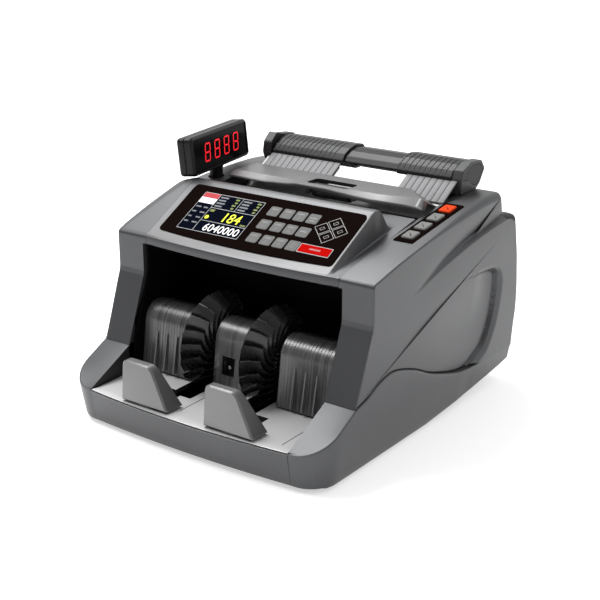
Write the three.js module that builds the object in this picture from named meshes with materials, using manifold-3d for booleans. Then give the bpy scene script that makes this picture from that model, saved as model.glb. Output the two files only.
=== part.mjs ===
// Desktop banknote counting machine. Units are millimetres, +Z is up, +X is to the operator's right.
// The group is placed so that its origin is the bottom centre of its bounding box.
// Inside the group, Y = 0 is the upper front face and Z = 0 is the bottom edge of the base.
import * as THREE from 'three';
import { mergeVertices } from 'three/addons/utils/BufferGeometryUtils.js';
import Module from 'manifold-3d';

const wasm = await Module();
wasm.setup();

// ---- driving dimensions -------------------------------------------------------------------------
const BOX_CENTRE_Y = 84.7;          // middle of the depth, measured from the front face
const FOOT_HEIGHT = 4;
const GAP = 0.35;                   // clearance between neighbouring pieces
const WALL = 2.5;                   // moulded wall thickness
const HALF_WIDTH = 131.5;           // cover
const BASE_HALF_WIDTH = 131.8;      // base, a little prouder than the cover
const SEAM_X = 99.6;                // seam between the side shells and the middle of the top
const BAY_HALF_WIDTH = 102.7;       // stacker opening
const BAY_TOP = 139.9;
const FRONT_TOP = 147.4;            // top edge of the front face
const KNEE_Z = 113.5;               // where the front face starts to lean forward
const COVER_FOOT = [-22.2, 53.8];   // lower front corner of the cover
const LIP_Y = -70.3;                // front of the base at the seams
const LIP_BOW = 5.7;                // how far the tray's front wall bows forward
const LIP_Z = 29.4;
const LIP_SEAM_X = 102.1;           // ends of the tray's front wall
const BASE_BACK = 250;              // anything behind the rear shell
const CORNER_R = 27;
const TOP_SLOPE = 0.198;            // slope of the top beside the console
const CONSOLE_SLOPE = 0.55;         // slope of the keypad plane
const CONSOLE_RIDGE = [64, 75];     // start and end of the console's rounded ridge
const CONSOLE_BACK = 88;            // foot of the console's rear face
const CONSOLE_RIGHT = 88.5;
const LID_FRONT = 113;
const LID_BACK = 154;
const LID_HALF = 98.6;
const LID_TOP = 181.5;
const THUMB_AXIS = [130, 173.4];    // y, z of the thumbwheel under the lid
const PLATE_SLOPE = 0.62;           // slope of the hopper plate
const PLATE_LOW = [138, 164.1];     // lower edge of the hopper plate
const PLATE_HIGH_Y = 172;
const WHEEL_AXIS = [15, 60];        // y, z of the vane wheels' shaft
const WHEEL_R = 46;
const WHEEL_X = [-33.5, 28];        // left and right vane wheels
const WHEEL_WIDTH = 18;
const CENTRE_HOOD = [-21, 10];      // left and right ends of the middle hood
const SENSOR = [-12, 1];            // left and right edges of its window
const WHEEL_SHAFT_R = 3;
const STACKER_PULLEY_R = 17;
const VANES = 14;
const FEED_AXIS = [128, 144];
const FEED_R = 12.5;
const FEED_SHAFT_R = 3.5;
const FEED_PULLEY_R = 11;
const MOTOR_AXIS = [150, 62];
const MOTOR_PULLEY_R = 7;
const POD_POST = [-115, 114];       // x, y of the display's swivel axis
const POD_SIZE = [16, 103, 34.5];
const POD_Z = 184.2;                // underside of the display
const POD_TURN = THREE.MathUtils.degToRad(10.5);
const POD_LEAN = THREE.MathUtils.degToRad(6);
const STRIP = { x0: 102.6, x1: 121.5, y0: 70, y1: 154, z0: 161.6, slope: 0.1495 };
const STOPPER_X = [-41, 46];
const STOPPER_FRONT_Y = -72;
const STOPPER_HEIGHT = 36;

const machine = new THREE.Group();
machine.position.set(0, -BOX_CENTRE_Y, FOOT_HEIGHT);

// ---- materials ----------------------------------------------------------------------------------
const finish = (color, roughness = 0.5, metalness = 0) =>
  new THREE.MeshStandardMaterial({ color, roughness, metalness });
const BODY = finish(0x6b6c70, 0.42, 0.25);
const BODY_LIGHT = finish(0x9d9ea2, 0.4, 0.3);
const CONSOLE_SILVER = finish(0xb4b4b8, 0.35, 0.3);
const BLACK = finish(0x0c0c0d, 0.35);
const DARK = finish(0x2c2d30, 0.3);
const PALE = finish(0xd6d6d4, 0.45);
const STEEL = finish(0xb9bcc0, 0.3, 0.9);
const RUBBER = finish(0x1a1a1a, 0.9);
const KEY_GREY = finish(0xa8a8a4, 0.6);
const ORANGE = finish(0xe8470e, 0.5);
const BOARD = finish(0x1d5b36, 0.6);
const LED_RED = finish(0x3a0608, 0.15);

// ---- helpers ------------------------------------------------------------------------------------
function solidOf(geometry) {
  const bare = geometry.clone();
  bare.deleteAttribute('normal');
  bare.deleteAttribute('uv');
  const merged = mergeVertices(bare, 1e-4);
  return new wasm.Manifold(new wasm.Mesh({
    numProp: 3,
    vertProperties: new Float32Array(merged.attributes.position.array),
    triVerts: new Uint32Array(merged.index.array),
  }));
}

function geometryOf(solid) {
  const mesh = solid.getMesh();
  const geometry = new THREE.BufferGeometry();
  geometry.setAttribute('position', new THREE.BufferAttribute(mesh.vertProperties.slice(), 3));
  geometry.setIndex(new THREE.BufferAttribute(mesh.triVerts.slice(), 1));
  return geometry;
}

function part(name, solid, material, position = [0, 0, 0], parent = machine) {
  const mesh = new THREE.Mesh(geometryOf(solid), material);
  mesh.name = name;
  mesh.position.set(...position);
  parent.add(mesh);
  return mesh;
}

const shapeOf = (points) => new THREE.Shape(points.map(([a, b]) => new THREE.Vector2(a, b)));

function extrude(points, length, basis, origin) {
  const geometry = new THREE.ExtrudeGeometry(shapeOf(points), { depth: length, bevelEnabled: false });
  geometry.applyMatrix4(basis);
  geometry.translate(...origin);
  return solidOf(geometry);
}

const vec = (x, y, z) => new THREE.Vector3(x, y, z);
const BASIS_X = new THREE.Matrix4().makeBasis(vec(0, 1, 0), vec(0, 0, 1), vec(1, 0, 0));
const BASIS_Y = new THREE.Matrix4().makeBasis(vec(1, 0, 0), vec(0, 0, 1), vec(0, -1, 0));
const BASIS_Z = new THREE.Matrix4();

// (y, z) outline swept along X, (x, z) outline swept along Y, (x, y) outline swept along Z
const alongX = (points, x0, x1) => extrude(points, x1 - x0, BASIS_X, [x0, 0, 0]);
const alongY = (points, y0, y1) => extrude(points, y1 - y0, BASIS_Y, [0, y1, 0]);
const alongZ = (points, z0, z1) => extrude(points, z1 - z0, BASIS_Z, [0, 0, z0]);

function box(x0, x1, y0, y1, z0, z1) {
  const geometry = new THREE.BoxGeometry(x1 - x0, y1 - y0, z1 - z0);
  geometry.translate((x0 + x1) / 2, (y0 + y1) / 2, (z0 + z1) / 2);
  return solidOf(geometry);
}

function rodX(radius, x0, x1, [y, z], sides = 24) {
  const geometry = new THREE.CylinderGeometry(radius, radius, x1 - x0, sides);
  geometry.rotateZ(Math.PI / 2);
  geometry.translate((x0 + x1) / 2, y, z);
  return solidOf(geometry);
}

function rodZ(radius, z0, z1, [x, y], sides = 24) {
  const geometry = new THREE.CylinderGeometry(radius, radius, z1 - z0, sides);
  geometry.rotateX(Math.PI / 2);
  geometry.translate(x, y, (z0 + z1) / 2);
  return solidOf(geometry);
}

// smooth run through the given points
function smooth(points, steps) {
  const curve = new THREE.SplineCurve(points.map(([a, b]) => new THREE.Vector2(a, b)));
  return curve.getPoints(steps).map((p) => [p.x, p.y]);
}

function arc(cx, cy, r, fromDeg, toDeg, steps) {
  const points = [];
  for (let i = 0; i <= steps; i += 1) {
    const a = THREE.MathUtils.degToRad(fromDeg + (toDeg - fromDeg) * i / steps);
    points.push([cx + r * Math.cos(a), cy + r * Math.sin(a)]);
  }
  return points;
}

// closed outline moved inwards by the given distance (outwards when it is negative)
function inset(points, distance) {
  const area = points.reduce((sum, [a, b], i) => {
    const [c, d] = points[(i + 1) % points.length];
    return sum + a * d - c * b;
  }, 0);
  const side = area > 0 ? distance : -distance;
  return points.map((p, i) => {
    const before = points[(i + points.length - 1) % points.length];
    const after = points[(i + 1) % points.length];
    const n1 = normal(before, p);
    const n2 = normal(p, after);
    const scale = side / Math.max(0.3, 1 + n1[0] * n2[0] + n1[1] * n2[1]);
    return [p[0] + (n1[0] + n2[0]) * scale, p[1] + (n1[1] + n2[1]) * scale];
  });
}

function normal([a, b], [c, d]) {
  const length = Math.hypot(c - a, d - b);
  return [-(d - b) / length, (c - a) / length];
}

function roundedRect(x0, x1, y0, y1, r, steps = 4) {
  return [
    ...arc(x1 - r, y0 + r, r, -90, 0, steps), ...arc(x1 - r, y1 - r, r, 0, 90, steps),
    ...arc(x0 + r, y1 - r, r, 90, 180, steps), ...arc(x0 + r, y0 + r, r, 180, 270, steps),
  ];
}

// ---- outlines shared by several pieces ----------------------------------------------------------
const topZ = (y) => FRONT_TOP + TOP_SLOPE * y;
const consoleZ = (y) => FRONT_TOP + CONSOLE_SLOPE * y;
const plateZ = (y) => PLATE_LOW[1] + PLATE_SLOPE * (y - PLATE_LOW[0]);

const WAVE = [COVER_FOOT, ...smooth([[-6, 58], [12, 65.5], [33, 68], [64, 59], [88, 48],
  [114, 39], [140, 32], [170, 29], [205, 28], [240, 28]], 24)];
const LEFT_TOP = smooth([[0, FRONT_TOP], [38, 160.3], [71, 168], [110, 174.4], [150, 177.8],
  [180, 178.6], [203, 176.8]], 12);
const RIGHT_TOP = smooth([[0, FRONT_TOP], [36, 155.4], [72, 161.8], [110, 167.6], [154, 173.9],
  [182, 176], [203, 175.6]], 12);
const REAR = [[211, 171], [218, 156], ...smooth([[230, 151], [236, 132], [241.5, 112], [245, 86],
  [245, 62], [242, 44], [240, 28]], 10)];

const coverOutline = (top) => [
  ...WAVE.map(([y, z]) => [y, z + GAP]).slice(0, -1),
  ...[...REAR].reverse(), ...[...top].reverse(), [0, KNEE_Z],
];

const baseOutline = () => [
  [-66, 0], [90, 0], [150, 4], [216, 13.7], [225, 17], [234, 23], ...[...WAVE].reverse(), [LIP_Y, LIP_Z],
];

// plan of the base with the two large front corners
const basePlan = (half, front) => [
  [half, BASE_BACK], [-half, BASE_BACK],
  ...arc(-half + CORNER_R, front + CORNER_R, CORNER_R, 180, 270, 8),
  ...arc(half - CORNER_R, front + CORNER_R, CORNER_R, 270, 360, 8),
];

// front edge of a bowed panel, from its left end to its right end
function bow(half, y, depth, steps = 12) {
  const points = [];
  for (let i = 0; i <= steps; i += 1) {
    const x = -half + 2 * half * i / steps;
    points.push([x, y - depth * (1 - (x / half) ** 2)]);
  }
  return points;
}

// ---- housing ------------------------------------------------------------------------------------
function makeBase() {
  const outer = alongX(baseOutline(), -BASE_HALF_WIDTH, BASE_HALF_WIDTH)
    .intersect(alongZ(basePlan(BASE_HALF_WIDTH, LIP_Y), -1, 90));
  const armWalls = box(-BAY_HALF_WIDTH - WALL, -BAY_HALF_WIDTH, -80, COVER_FOOT[0] + 1, 0, 90)
    .add(box(BAY_HALF_WIDTH, BAY_HALF_WIDTH + WALL, -80, COVER_FOOT[0] + 1, 0, 90));
  const cavity = alongX(inset(baseOutline(), WALL), -BASE_HALF_WIDTH + WALL, BASE_HALF_WIDTH - WALL)
    .intersect(alongZ(basePlan(BASE_HALF_WIDTH - WALL, LIP_Y + WALL), -1, 90))
    .subtract(armWalls);
  const topOpening = box(-BASE_HALF_WIDTH + WALL, BASE_HALF_WIDTH - WALL, COVER_FOOT[0] + 2, 234, 20, 90);
  const trayOpening = box(-BAY_HALF_WIDTH, BAY_HALF_WIDTH, -90, COVER_FOOT[0] + 5, WALL, 90);
  const lipOpening = box(-LIP_SEAM_X, LIP_SEAM_X, -90, LIP_Y + 6.5, -1, WALL + 1);
  return part('base_housing', outer.subtract(cavity).subtract(topOpening).subtract(trayOpening)
    .subtract(lipOpening), BODY);
}

function makeTray() {
  const half = LIP_SEAM_X - GAP;
  const front = LIP_Y;
  const floorZ = LIP_Z - 1;
  const back = 62;
  const rise = 4;
  const rear = [[half, front + 6], [-half, front + 6]];
  const wall = alongZ([...bow(half, front, LIP_BOW), ...rear], WALL + GAP, LIP_Z);
  const skirt = alongZ([...bow(half, front + 1.5, LIP_BOW), ...rear], 0, WALL + 2 * GAP);
  const floor = alongX([[front + 1, floorZ - WALL], [back, floorZ - WALL + rise], [back, floorZ + rise],
    [front + 1, floorZ]], -half, half);
  const halfSlot = WHEEL_WIDTH / 2 + 2;
  const wheelSlot = (x) => box(x - halfSlot, x + halfSlot, -36, back + 1, 10, 60);
  const stopperSlot = (x) => box(x - 8, x + 8, STOPPER_FRONT_Y + 10, STOPPER_FRONT_Y + 44, 10, 60);
  let tray = wall.add(skirt).add(floor);
  for (const x of WHEEL_X) tray = tray.subtract(wheelSlot(x));
  for (const x of STOPPER_X) tray = tray.subtract(stopperSlot(x));
  part('stacker_tray', tray, BODY_LIGHT);
}

function makeCover() {
  const outer = alongX(coverOutline(LEFT_TOP), -HALF_WIDTH, -SEAM_X)
    .add(alongX(coverOutline(RIGHT_TOP), -SEAM_X, HALF_WIDTH));
  const cavity = alongX(inset(coverOutline(LEFT_TOP), WALL), -HALF_WIDTH + WALL, -SEAM_X + 1)
    .add(alongX(inset(coverOutline(RIGHT_TOP), WALL), -SEAM_X - 1, HALF_WIDTH - WALL));
  const below = alongX([[-10, 30], [240 - WALL, 20], [240 - WALL, 34], [60, 74], [-10, 74]],
    -HALF_WIDTH + WALL, HALF_WIDTH - WALL);
  const top = box(-SEAM_X, SEAM_X, -40, 212, 100, 230);
  const front = box(-BAY_HALF_WIDTH, BAY_HALF_WIDTH, -40, 60, 0, BAY_TOP);
  const stripHole = stripBox(STRIP.x0, STRIP.x1, STRIP.y0, STRIP.y1, -8, 12);
  const collar = rodZ(7.5, 160, 200, POD_POST, 20);
  const rearHole = box(-60, 60, 235, 260, 42, 98);
  part('upper_cover', outer.subtract(cavity).subtract(below).subtract(top).subtract(front)
    .subtract(stripHole).subtract(collar).subtract(rearHole), BODY);
}

function makeConsole() {
  const back = LID_FRONT - 2;
  const rear = [[back, topZ(back)], [back, 163], [10, 143]];
  const outline = [[0, BAY_TOP], [0, FRONT_TOP], [CONSOLE_RIDGE[0], consoleZ(CONSOLE_RIDGE[0])],
    [70, 183.4], [CONSOLE_RIDGE[1], 183.2], [CONSOLE_BACK, topZ(CONSOLE_BACK)], ...rear];
  const flat = [[0, BAY_TOP], [0, FRONT_TOP], ...rear];
  const half = SEAM_X - GAP;
  const raised = alongX(outline, -half, CONSOLE_RIGHT);
  const side = alongX(flat, CONSOLE_RIGHT - 1, half);
  const hollow = alongX([[6, BAY_TOP + 4], [12, BAY_TOP + 8], [66, 180.6], [74, 180.4], [86, 163.4],
    [106, 165.5], [106, 150], [20, 130], [6, 130]], -half + WALL, CONSOLE_RIGHT - WALL);
  const beam = alongZ([...bow(half, 0, 5), [half, 5], [-half, 5]], BAY_TOP, FRONT_TOP);
  const shell = raised.add(side).add(beam).subtract(hollow).subtract(windowSlab(0, -8, 5));
  part('console_housing', shell, CONSOLE_SILVER);
}

// a box lying on the keypad plane: x range, y range measured on the level, depth range across the plane
function consoleSlab(x0, x1, y0, y1, low, high) {
  return alongX([[y0, consoleZ(y0) + low], [y1, consoleZ(y1) + low], [y1, consoleZ(y1) + high],
    [y0, consoleZ(y0) + high]], x0, x1);
}

// the display window's place on the keypad plane, grown all round by margin
function windowSlab(margin, low, high) {
  return consoleSlab(-76.2 - margin, -10.6 + margin, 13.4 - margin, 54.4 + margin, low, high);
}

function makeKeypad() {
  const overlay = consoleSlab(-92, 86.4, 11, 62.5, GAP, GAP + 0.9);
  part('keypad_overlay', overlay.subtract(windowSlab(0.5, -5, 5)), BLACK);
  part('display_window', windowSlab(-GAP, -5, GAP + 0.7), DARK);
}

// a box lying on the slope of the right-hand button strip
function stripBox(x0, x1, y0, y1, low, high) {
  const z = (y) => STRIP.z0 + STRIP.slope * (y - STRIP.y0);
  return alongX([[y0, z(y0) + low], [y1, z(y1) + low], [y1, z(y1) + high], [y0, z(y0) + high]], x0, x1);
}

function makeButtonStrip() {
  const { x0, x1, y0, y1 } = STRIP;
  const pitch = (y1 - y0 - 6) / 4;
  let bezel = stripBox(x0 + GAP, x1 - GAP, y0 + GAP, y1 - GAP, -3, 0.8);
  for (let i = 0; i < 4; i += 1) {
    const start = y0 + 3 + pitch * i + 2.6;
    const end = y0 + 3 + pitch * (i + 1) - 2.6;
    bezel = bezel.subtract(stripBox(x0 + 3.4, x1 - 3.4, start, end, -9, 9));
    part(`side_button_${i + 1}`, stripBox(x0 + 3.9, x1 - 3.9, start + 0.5, end - 0.5, -4.6, 1.6),
      i === 3 ? ORANGE : KEY_GREY);
  }
  part('button_strip_bezel', bezel, BLACK);
}

function makeRear() {
  const plate = box(-59.5, 59.5, 237.5, 240, 42.5, 97.5)
    .subtract(box(20, 48, 230, 250, 54, 74)).subtract(box(-6, 7, 230, 250, 54, 74));
  let vented = plate;
  for (let i = 0; i < 7; i += 1) {
    vented = vented.subtract(box(-50, -18, 230, 250, 50 + 6 * i, 53 + 6 * i));
  }
  part('rear_panel', vented, BODY);
  const socket = box(20 + GAP, 48 - GAP, 222, 242, 54 + GAP, 74 - GAP)
    .subtract(box(23, 45, 226, 243, 57, 71));
  part('power_inlet', socket, BLACK);
  const frame = box(-6 + GAP, 7 - GAP, 226, 241.5, 54 + GAP, 74 - GAP);
  part('switch_frame', frame.subtract(box(-4, 5, 229, 245, 56, 72)), BLACK);
  const rocker = [[232, 64], [236, 57], [242, 57.5], [241, 64], [243, 70.5], [236, 71]];
  part('power_switch', alongX(rocker, -3.4, 4.4), BLACK);
}

function makeFeet() {
  const names = ['front_left', 'front_right', 'rear_left', 'rear_right'];
  names.forEach((name, i) => {
    const x = (i % 2 === 0 ? -1 : 1) * 104;
    const y = i < 2 ? -34 : 84;
    const foot = new THREE.CylinderGeometry(9, 8, FOOT_HEIGHT - GAP, 20);
    foot.rotateX(Math.PI / 2);
    part(`foot_${name}`, solidOf(foot), RUBBER, [x, y, -(FOOT_HEIGHT + GAP) / 2]);
  });
}

// ---- stacker bay --------------------------------------------------------------------------------
function makeBay() {
  const wall = 2;
  const half = BAY_HALF_WIDTH - GAP;
  const ceiling = BAY_TOP - GAP;
  const back = 72;
  const front = [[-17, 24], [-17, 58], [4, 114], [4, ceiling]];
  const outer = alongX([...front, [back, ceiling], [back, 24]], -half, half);
  const inner = alongX([[-40, 20], [-40, ceiling - wall], [back - wall, ceiling - wall], [back - wall, 20]],
    -half + wall, half - wall);
  const feedMouth = box(-92, 92, 40, 80, 112, 130);
  const shaftHoles = rodX(4.5, -120, 120, WHEEL_AXIS);
  const trayNotch = box(-half - 1, half + 1, -40, 64, 0, 33);
  const liner = outer.subtract(inner).subtract(feedMouth).subtract(shaftHoles).subtract(trayNotch);
  part('bay_liner', liner, BLACK);
}

// hood with a nearly upright front and a rounded shoulder, open behind, moved inwards by shift
const guideOutline = (shift) => [
  [-10 + shift, 31.5], [-4 + shift, 70], ...arc(13, 71, 17 - shift, 175, 70, 6), [48, 76 - shift],
];

function makeGuides() {
  const thick = 2;
  const section = [...guideOutline(0), ...guideOutline(thick).reverse()];
  const spans = { guide_left: [-98, -46], guide_centre: CENTRE_HOOD, guide_right: [46, 98] };
  const fin = [[-13, 33.6], [-9, 33.6], [-4, 66], [-5, 66]];
  for (const [name, [x0, x1]] of Object.entries(spans)) {
    let guide = alongX(section, x0, x1);
    if (name === 'guide_centre') {
      guide = guide.subtract(box(...SENSOR, -20, 5, 44, 60));
    } else {
      for (const dx of [-11, 0, 11]) {
        const middle = (x0 + x1) / 2 + dx;
        guide = guide.add(alongX(fin, middle - 0.6, middle + 0.6));
      }
    }
    part(name, guide, DARK);
  }
  const pane = [[-7.2, 44.6], [-4.4, 44.6], [-2.3, 59.4], [-5.1, 59.4]];
  part('sensor_window', alongX(pane, SENSOR[0] + GAP, SENSOR[1] - GAP), BLACK);
}

function vaneOutline() {
  const hub = 13;
  const thickness = 2.9;
  const sweep = 52;
  const steps = 5;
  const points = [];
  // one side of a vane: k counts the steps outwards from the hub
  const blade = (start, k, thick) => {
    const r = hub + (WHEEL_R - hub) * k / steps;
    return [r, start + sweep * (k / steps) ** 1.4 + THREE.MathUtils.radToDeg(thick / r)];
  };
  for (let i = 0; i < VANES; i += 1) {
    const start = 360 * i / VANES;
    for (let k = 0; k <= steps; k += 1) points.push(blade(start, k, 0));
    for (let k = steps - 1; k >= 0; k -= 1) points.push(blade(start, k, thickness));
  }
  return points.map(([r, a]) => {
    const angle = THREE.MathUtils.degToRad(a);
    return [WHEEL_AXIS[0] + r * Math.cos(angle), WHEEL_AXIS[1] + r * Math.sin(angle)];
  });
}

function makeVaneWheels() {
  const shaftHole = rodX(WHEEL_SHAFT_R + GAP, -200, 200, WHEEL_AXIS, 16);
  const sides = { vane_wheel_left: WHEEL_X[0], vane_wheel_right: WHEEL_X[1] };
  for (const [name, x] of Object.entries(sides)) {
    const wheel = alongX(vaneOutline(), x - WHEEL_WIDTH / 2, x + WHEEL_WIDTH / 2);
    part(name, wheel.subtract(shaftHole), BLACK);
  }
  part('stacker_shaft', rodX(WHEEL_SHAFT_R, -118, 100, WHEEL_AXIS, 16), STEEL);
  part('stacker_pulley', rodX(STACKER_PULLEY_R, -114, -108, WHEEL_AXIS).subtract(shaftHole), BLACK);
}

// hollow wedge flag: upright front, sloping back, one slanted edge
function makeStoppers() {
  const h = STOPPER_HEIGHT;
  const face = [[-25, 0], [25, 0], ...arc(8, h - 9, 9, 25, 90, 4), ...arc(-19, h - 5, 5, 90, 180, 4)];
  STOPPER_X.forEach((x, i) => {
    const front = STOPPER_FRONT_Y;
    const bodyShape = alongY(face.map(([a, b]) => [x + a, LIP_Z + GAP + 0.6 + b]), front, front + 22);
    const top = LIP_Z + h + 2;
    const behind = [[front + 20, 20], [front + 8, top], [front + 60, top], [front + 60, 20]];
    const slope = alongX(behind, x - 40, x + 40);
    const inside = inset(face, 2.2).map(([a, b]) => [x + a, LIP_Z + b - 3]);
    const hollow = alongY(inside, front + 2.4, front + 40);
    const tongue = box(x - 7, x + 7, front + 11, front + 18, LIP_Z - 7, LIP_Z + 5)
      .add(box(x - 7, x + 7, front + 1, front + 18, LIP_Z + GAP + 0.6, LIP_Z + 5));
    const flag = bodyShape.subtract(slope).subtract(hollow).add(tongue);
    part(`stopper_${i === 0 ? 'left' : 'right'}`, flag, BODY_LIGHT);
  });
}

// ---- hopper and lid -----------------------------------------------------------------------------
const BAR = [[173.5, 187.2], [173.8, 191], [178, 196.5], [186, 200.2], [196, 202.4], [208, 201],
  [215, 194], [209, 185], [203, 179.5], [196, 179.8], [186, 186]];

const SLEEVE = 2.2;                 // wall of the sliding sleeves on the bar

function plateSlab(y0, y1, low, high) {
  return [[y0, plateZ(y0) + low], [y1, plateZ(y1) + low], [y1, plateZ(y1) + high], [y0, plateZ(y0) + high]];
}

function makeHopper() {
  const half = SEAM_X - GAP;
  part('hopper_plate', alongX(plateSlab(PLATE_LOW[0], PLATE_HIGH_Y, -2.4, 0), -half, half), PALE);
  part('hopper_bar_core', alongX(inset(BAR, SLEEVE), -half, half), DARK);
  const core = alongX(inset(BAR, SLEEVE - GAP), -120, 120);
  const cheek = [[176, 179.5], [173, 186], [175, 192], [183, 199], [198, 203.5], [209, 202], [216, 194],
    [209, 184], [203, 179]];
  const guides = { left: { sleeve: [-96, -16], fin: [-106, -96 - GAP] },
    right: { sleeve: [41, 96], fin: [96 + GAP, 106] } };
  for (const [name, { sleeve, fin }] of Object.entries(guides)) {
    const plate = alongX(plateSlab(152, 174.5, GAP, SLEEVE), ...sleeve);
    part(`hopper_guide_${name}`, alongX(BAR, ...sleeve).subtract(core).add(plate), DARK);
    part(`hopper_cheek_${name}`, alongX(cheek, ...fin).subtract(core), DARK);
  }
}

function makeLid() {
  const front = LID_FRONT;
  const outline = [[front, 175], [front + 1, 179], [front + 6, 180.6], [front + 22, LID_TOP],
    [LID_BACK, LID_TOP], [LID_BACK, LID_TOP - 2.6], [front + 8, LID_TOP - 3.6], [front + 3, 175]];
  const plan = [[-LID_HALF, front - 1], [LID_HALF, front - 1], [LID_HALF, 130], [75, LID_BACK + 1],
    [-LID_HALF, LID_BACK + 1]];
  const slot = alongZ(roundedRect(-18, 26, 123, 137, 5), 170, 190);
  let lid = alongX(outline, -LID_HALF, LID_HALF).intersect(alongZ(plan, 170, 190)).subtract(slot);
  for (const x of [-20, 28]) lid = lid.add(box(x - 1.5, x + 1.5, 124, 136, 170, 178.8));
  lid = lid.subtract(rodX(1.9, -30, 40, THUMB_AXIS, 12));
  part('lid', lid, BODY_LIGHT);
  const teeth = 20;
  const knurl = [];
  for (let i = 0; i < 2 * teeth; i += 1) {
    const r = i % 2 === 0 ? 6.2 : 5.6;
    const a = Math.PI * i / teeth;
    knurl.push([THUMB_AXIS[0] + r * Math.cos(a), THUMB_AXIS[1] + r * Math.sin(a)]);
  }
  part('gap_thumbwheel', alongX(knurl, -16, 24).add(rodX(1.5, -22, 30, THUMB_AXIS, 12)), BLACK);
}

// the display stands on its post, turned a little to the back and leaning back
function makePod() {
  const [depth, width, height] = POD_SIZE;
  const face = depth / 2;
  const seam = face - 8;
  const pod = new THREE.Group();
  pod.position.set(...POD_POST, POD_Z);
  pod.rotation.set(0, -POD_LEAN, POD_TURN, 'ZYX');
  machine.add(pod);
  const frame = (d, r) => roundedRect(-width / 2 + d, width / 2 - d, d, height - d, r, 3);
  const front = alongX(frame(0, 4), seam, face).subtract(alongX(frame(3, 2), face - 3, face + 5));
  const origin = [0, 0, 0];
  part('pod_rear_shell', alongX(frame(0, 4), -face, seam - GAP), DARK, origin, pod);
  part('pod_front_shell', front, DARK, origin, pod);
  part('pod_window', alongX(frame(3 + GAP, 2), face - 3 + GAP, face - 0.6), LED_RED, origin, pod);
  part('pod_post', rodZ(6, 164, POD_Z - 1, POD_POST, 20), DARK);
}

// ---- inside -------------------------------------------------------------------------------------
function beltOutline([y1, z1], r1, [y2, z2], r2) {
  const along = THREE.MathUtils.radToDeg(Math.atan2(z2 - z1, y2 - y1));
  const distance = Math.hypot(z2 - z1, y2 - y1);
  const tangent = THREE.MathUtils.radToDeg(Math.acos((r1 - r2) / distance));
  return [...arc(y1, z1, r1, along + tangent, along + 360 - tangent, 14),
    ...arc(y2, z2, r2, along - tangent, along + tangent, 14)];
}

function makeDrive() {
  part('feed_shaft', rodX(FEED_SHAFT_R, -125, 95, FEED_AXIS, 16), STEEL);
  const shaftHole = rodX(FEED_SHAFT_R + GAP, -200, 200, FEED_AXIS, 16);
  for (const [name, x] of [['feed_roller_left', -30], ['feed_roller_right', 30]]) {
    part(name, rodX(FEED_R, x - 12, x + 12, FEED_AXIS, 28).subtract(shaftHole), RUBBER);
  }
  part('feed_pulley', rodX(FEED_PULLEY_R, -123, -117, FEED_AXIS).subtract(shaftHole), BLACK);
  part('drive_motor', rodX(22, -80, -10, MOTOR_AXIS, 28).add(rodX(6, -10.5, -4, MOTOR_AXIS, 20)), STEEL);
  part('motor_pulley', rodX(MOTOR_PULLEY_R, -123, -108, MOTOR_AXIS)
    .add(rodX(2.5, -108.5, -80 - GAP, MOTOR_AXIS, 12)), BLACK);
  const belts = [['feed_belt', FEED_AXIS, FEED_PULLEY_R, -122, -118],
    ['stacker_belt', WHEEL_AXIS, STACKER_PULLEY_R, -113, -109]];
  for (const [name, axis, r, x0, x1] of belts) {
    const loop = (d) => beltOutline(MOTOR_AXIS, MOTOR_PULLEY_R + d, axis, r + d);
    part(name, alongX(loop(2), x0, x1).subtract(alongX(loop(0.5), x0 - 1, x1 + 1)), RUBBER);
  }
}

function makeFrame() {
  const profile = [[76, 12], [205, 17], [205, 150], [178, 168], [140, 158], [110, 158], [76, 135]];
  const window = [[170, 90], [195, 90], [195, 140], [170, 140]];
  for (const [name, x] of [['side_frame_left', -96], ['side_frame_right', 94]]) {
    let plate = alongX(profile, x, x + 2).subtract(alongX(window, x - 1, x + 3));
    for (const axis of [FEED_AXIS, MOTOR_AXIS]) plate = plate.subtract(rodX(4.5, x - 1, x + 3, axis, 16));
    part(name, plate, STEEL);
  }
  for (const [name, axis] of [['tie_rod_front', [84, 40]], ['tie_rod_rear', [196, 40]]]) {
    part(name, rodX(4, -94 + GAP, 94 - GAP, axis, 16), STEEL);
  }
  const centre = [FEED_AXIS[0] - 8, FEED_AXIS[1] - 6];
  const chute = [...arc(...centre, 27, 40, -150, 14), ...arc(...centre, 29, -150, 40, 14)];
  part('transport_guide', alongX(chute, -90, 90), BLACK);
  part('main_board', box(-20, 88, 100, 190, 20, 21.6), BOARD);
  part('power_supply', box(30, 88, 100, 190, 30, 62), STEEL);
}

makeBase();
makeTray();
makeCover();
makeConsole();
makeKeypad();
makeButtonStrip();
makeRear();
makeFeet();
makeBay();
makeGuides();
makeVaneWheels();
makeStoppers();
makeHopper();
makeLid();
makePod();
makeDrive();
makeFrame();

export default machine;
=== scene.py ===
"""Looks of the desktop banknote counter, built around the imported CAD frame.

Shapes are written in the machine's own millimetres: x to the operator's right, y back from the
upper front face, z up from the bottom edge of the base. place() turns them into frame metres.
"""
import math

import bmesh
import bpy
import numpy as np
from mathutils import Matrix, Vector


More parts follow.
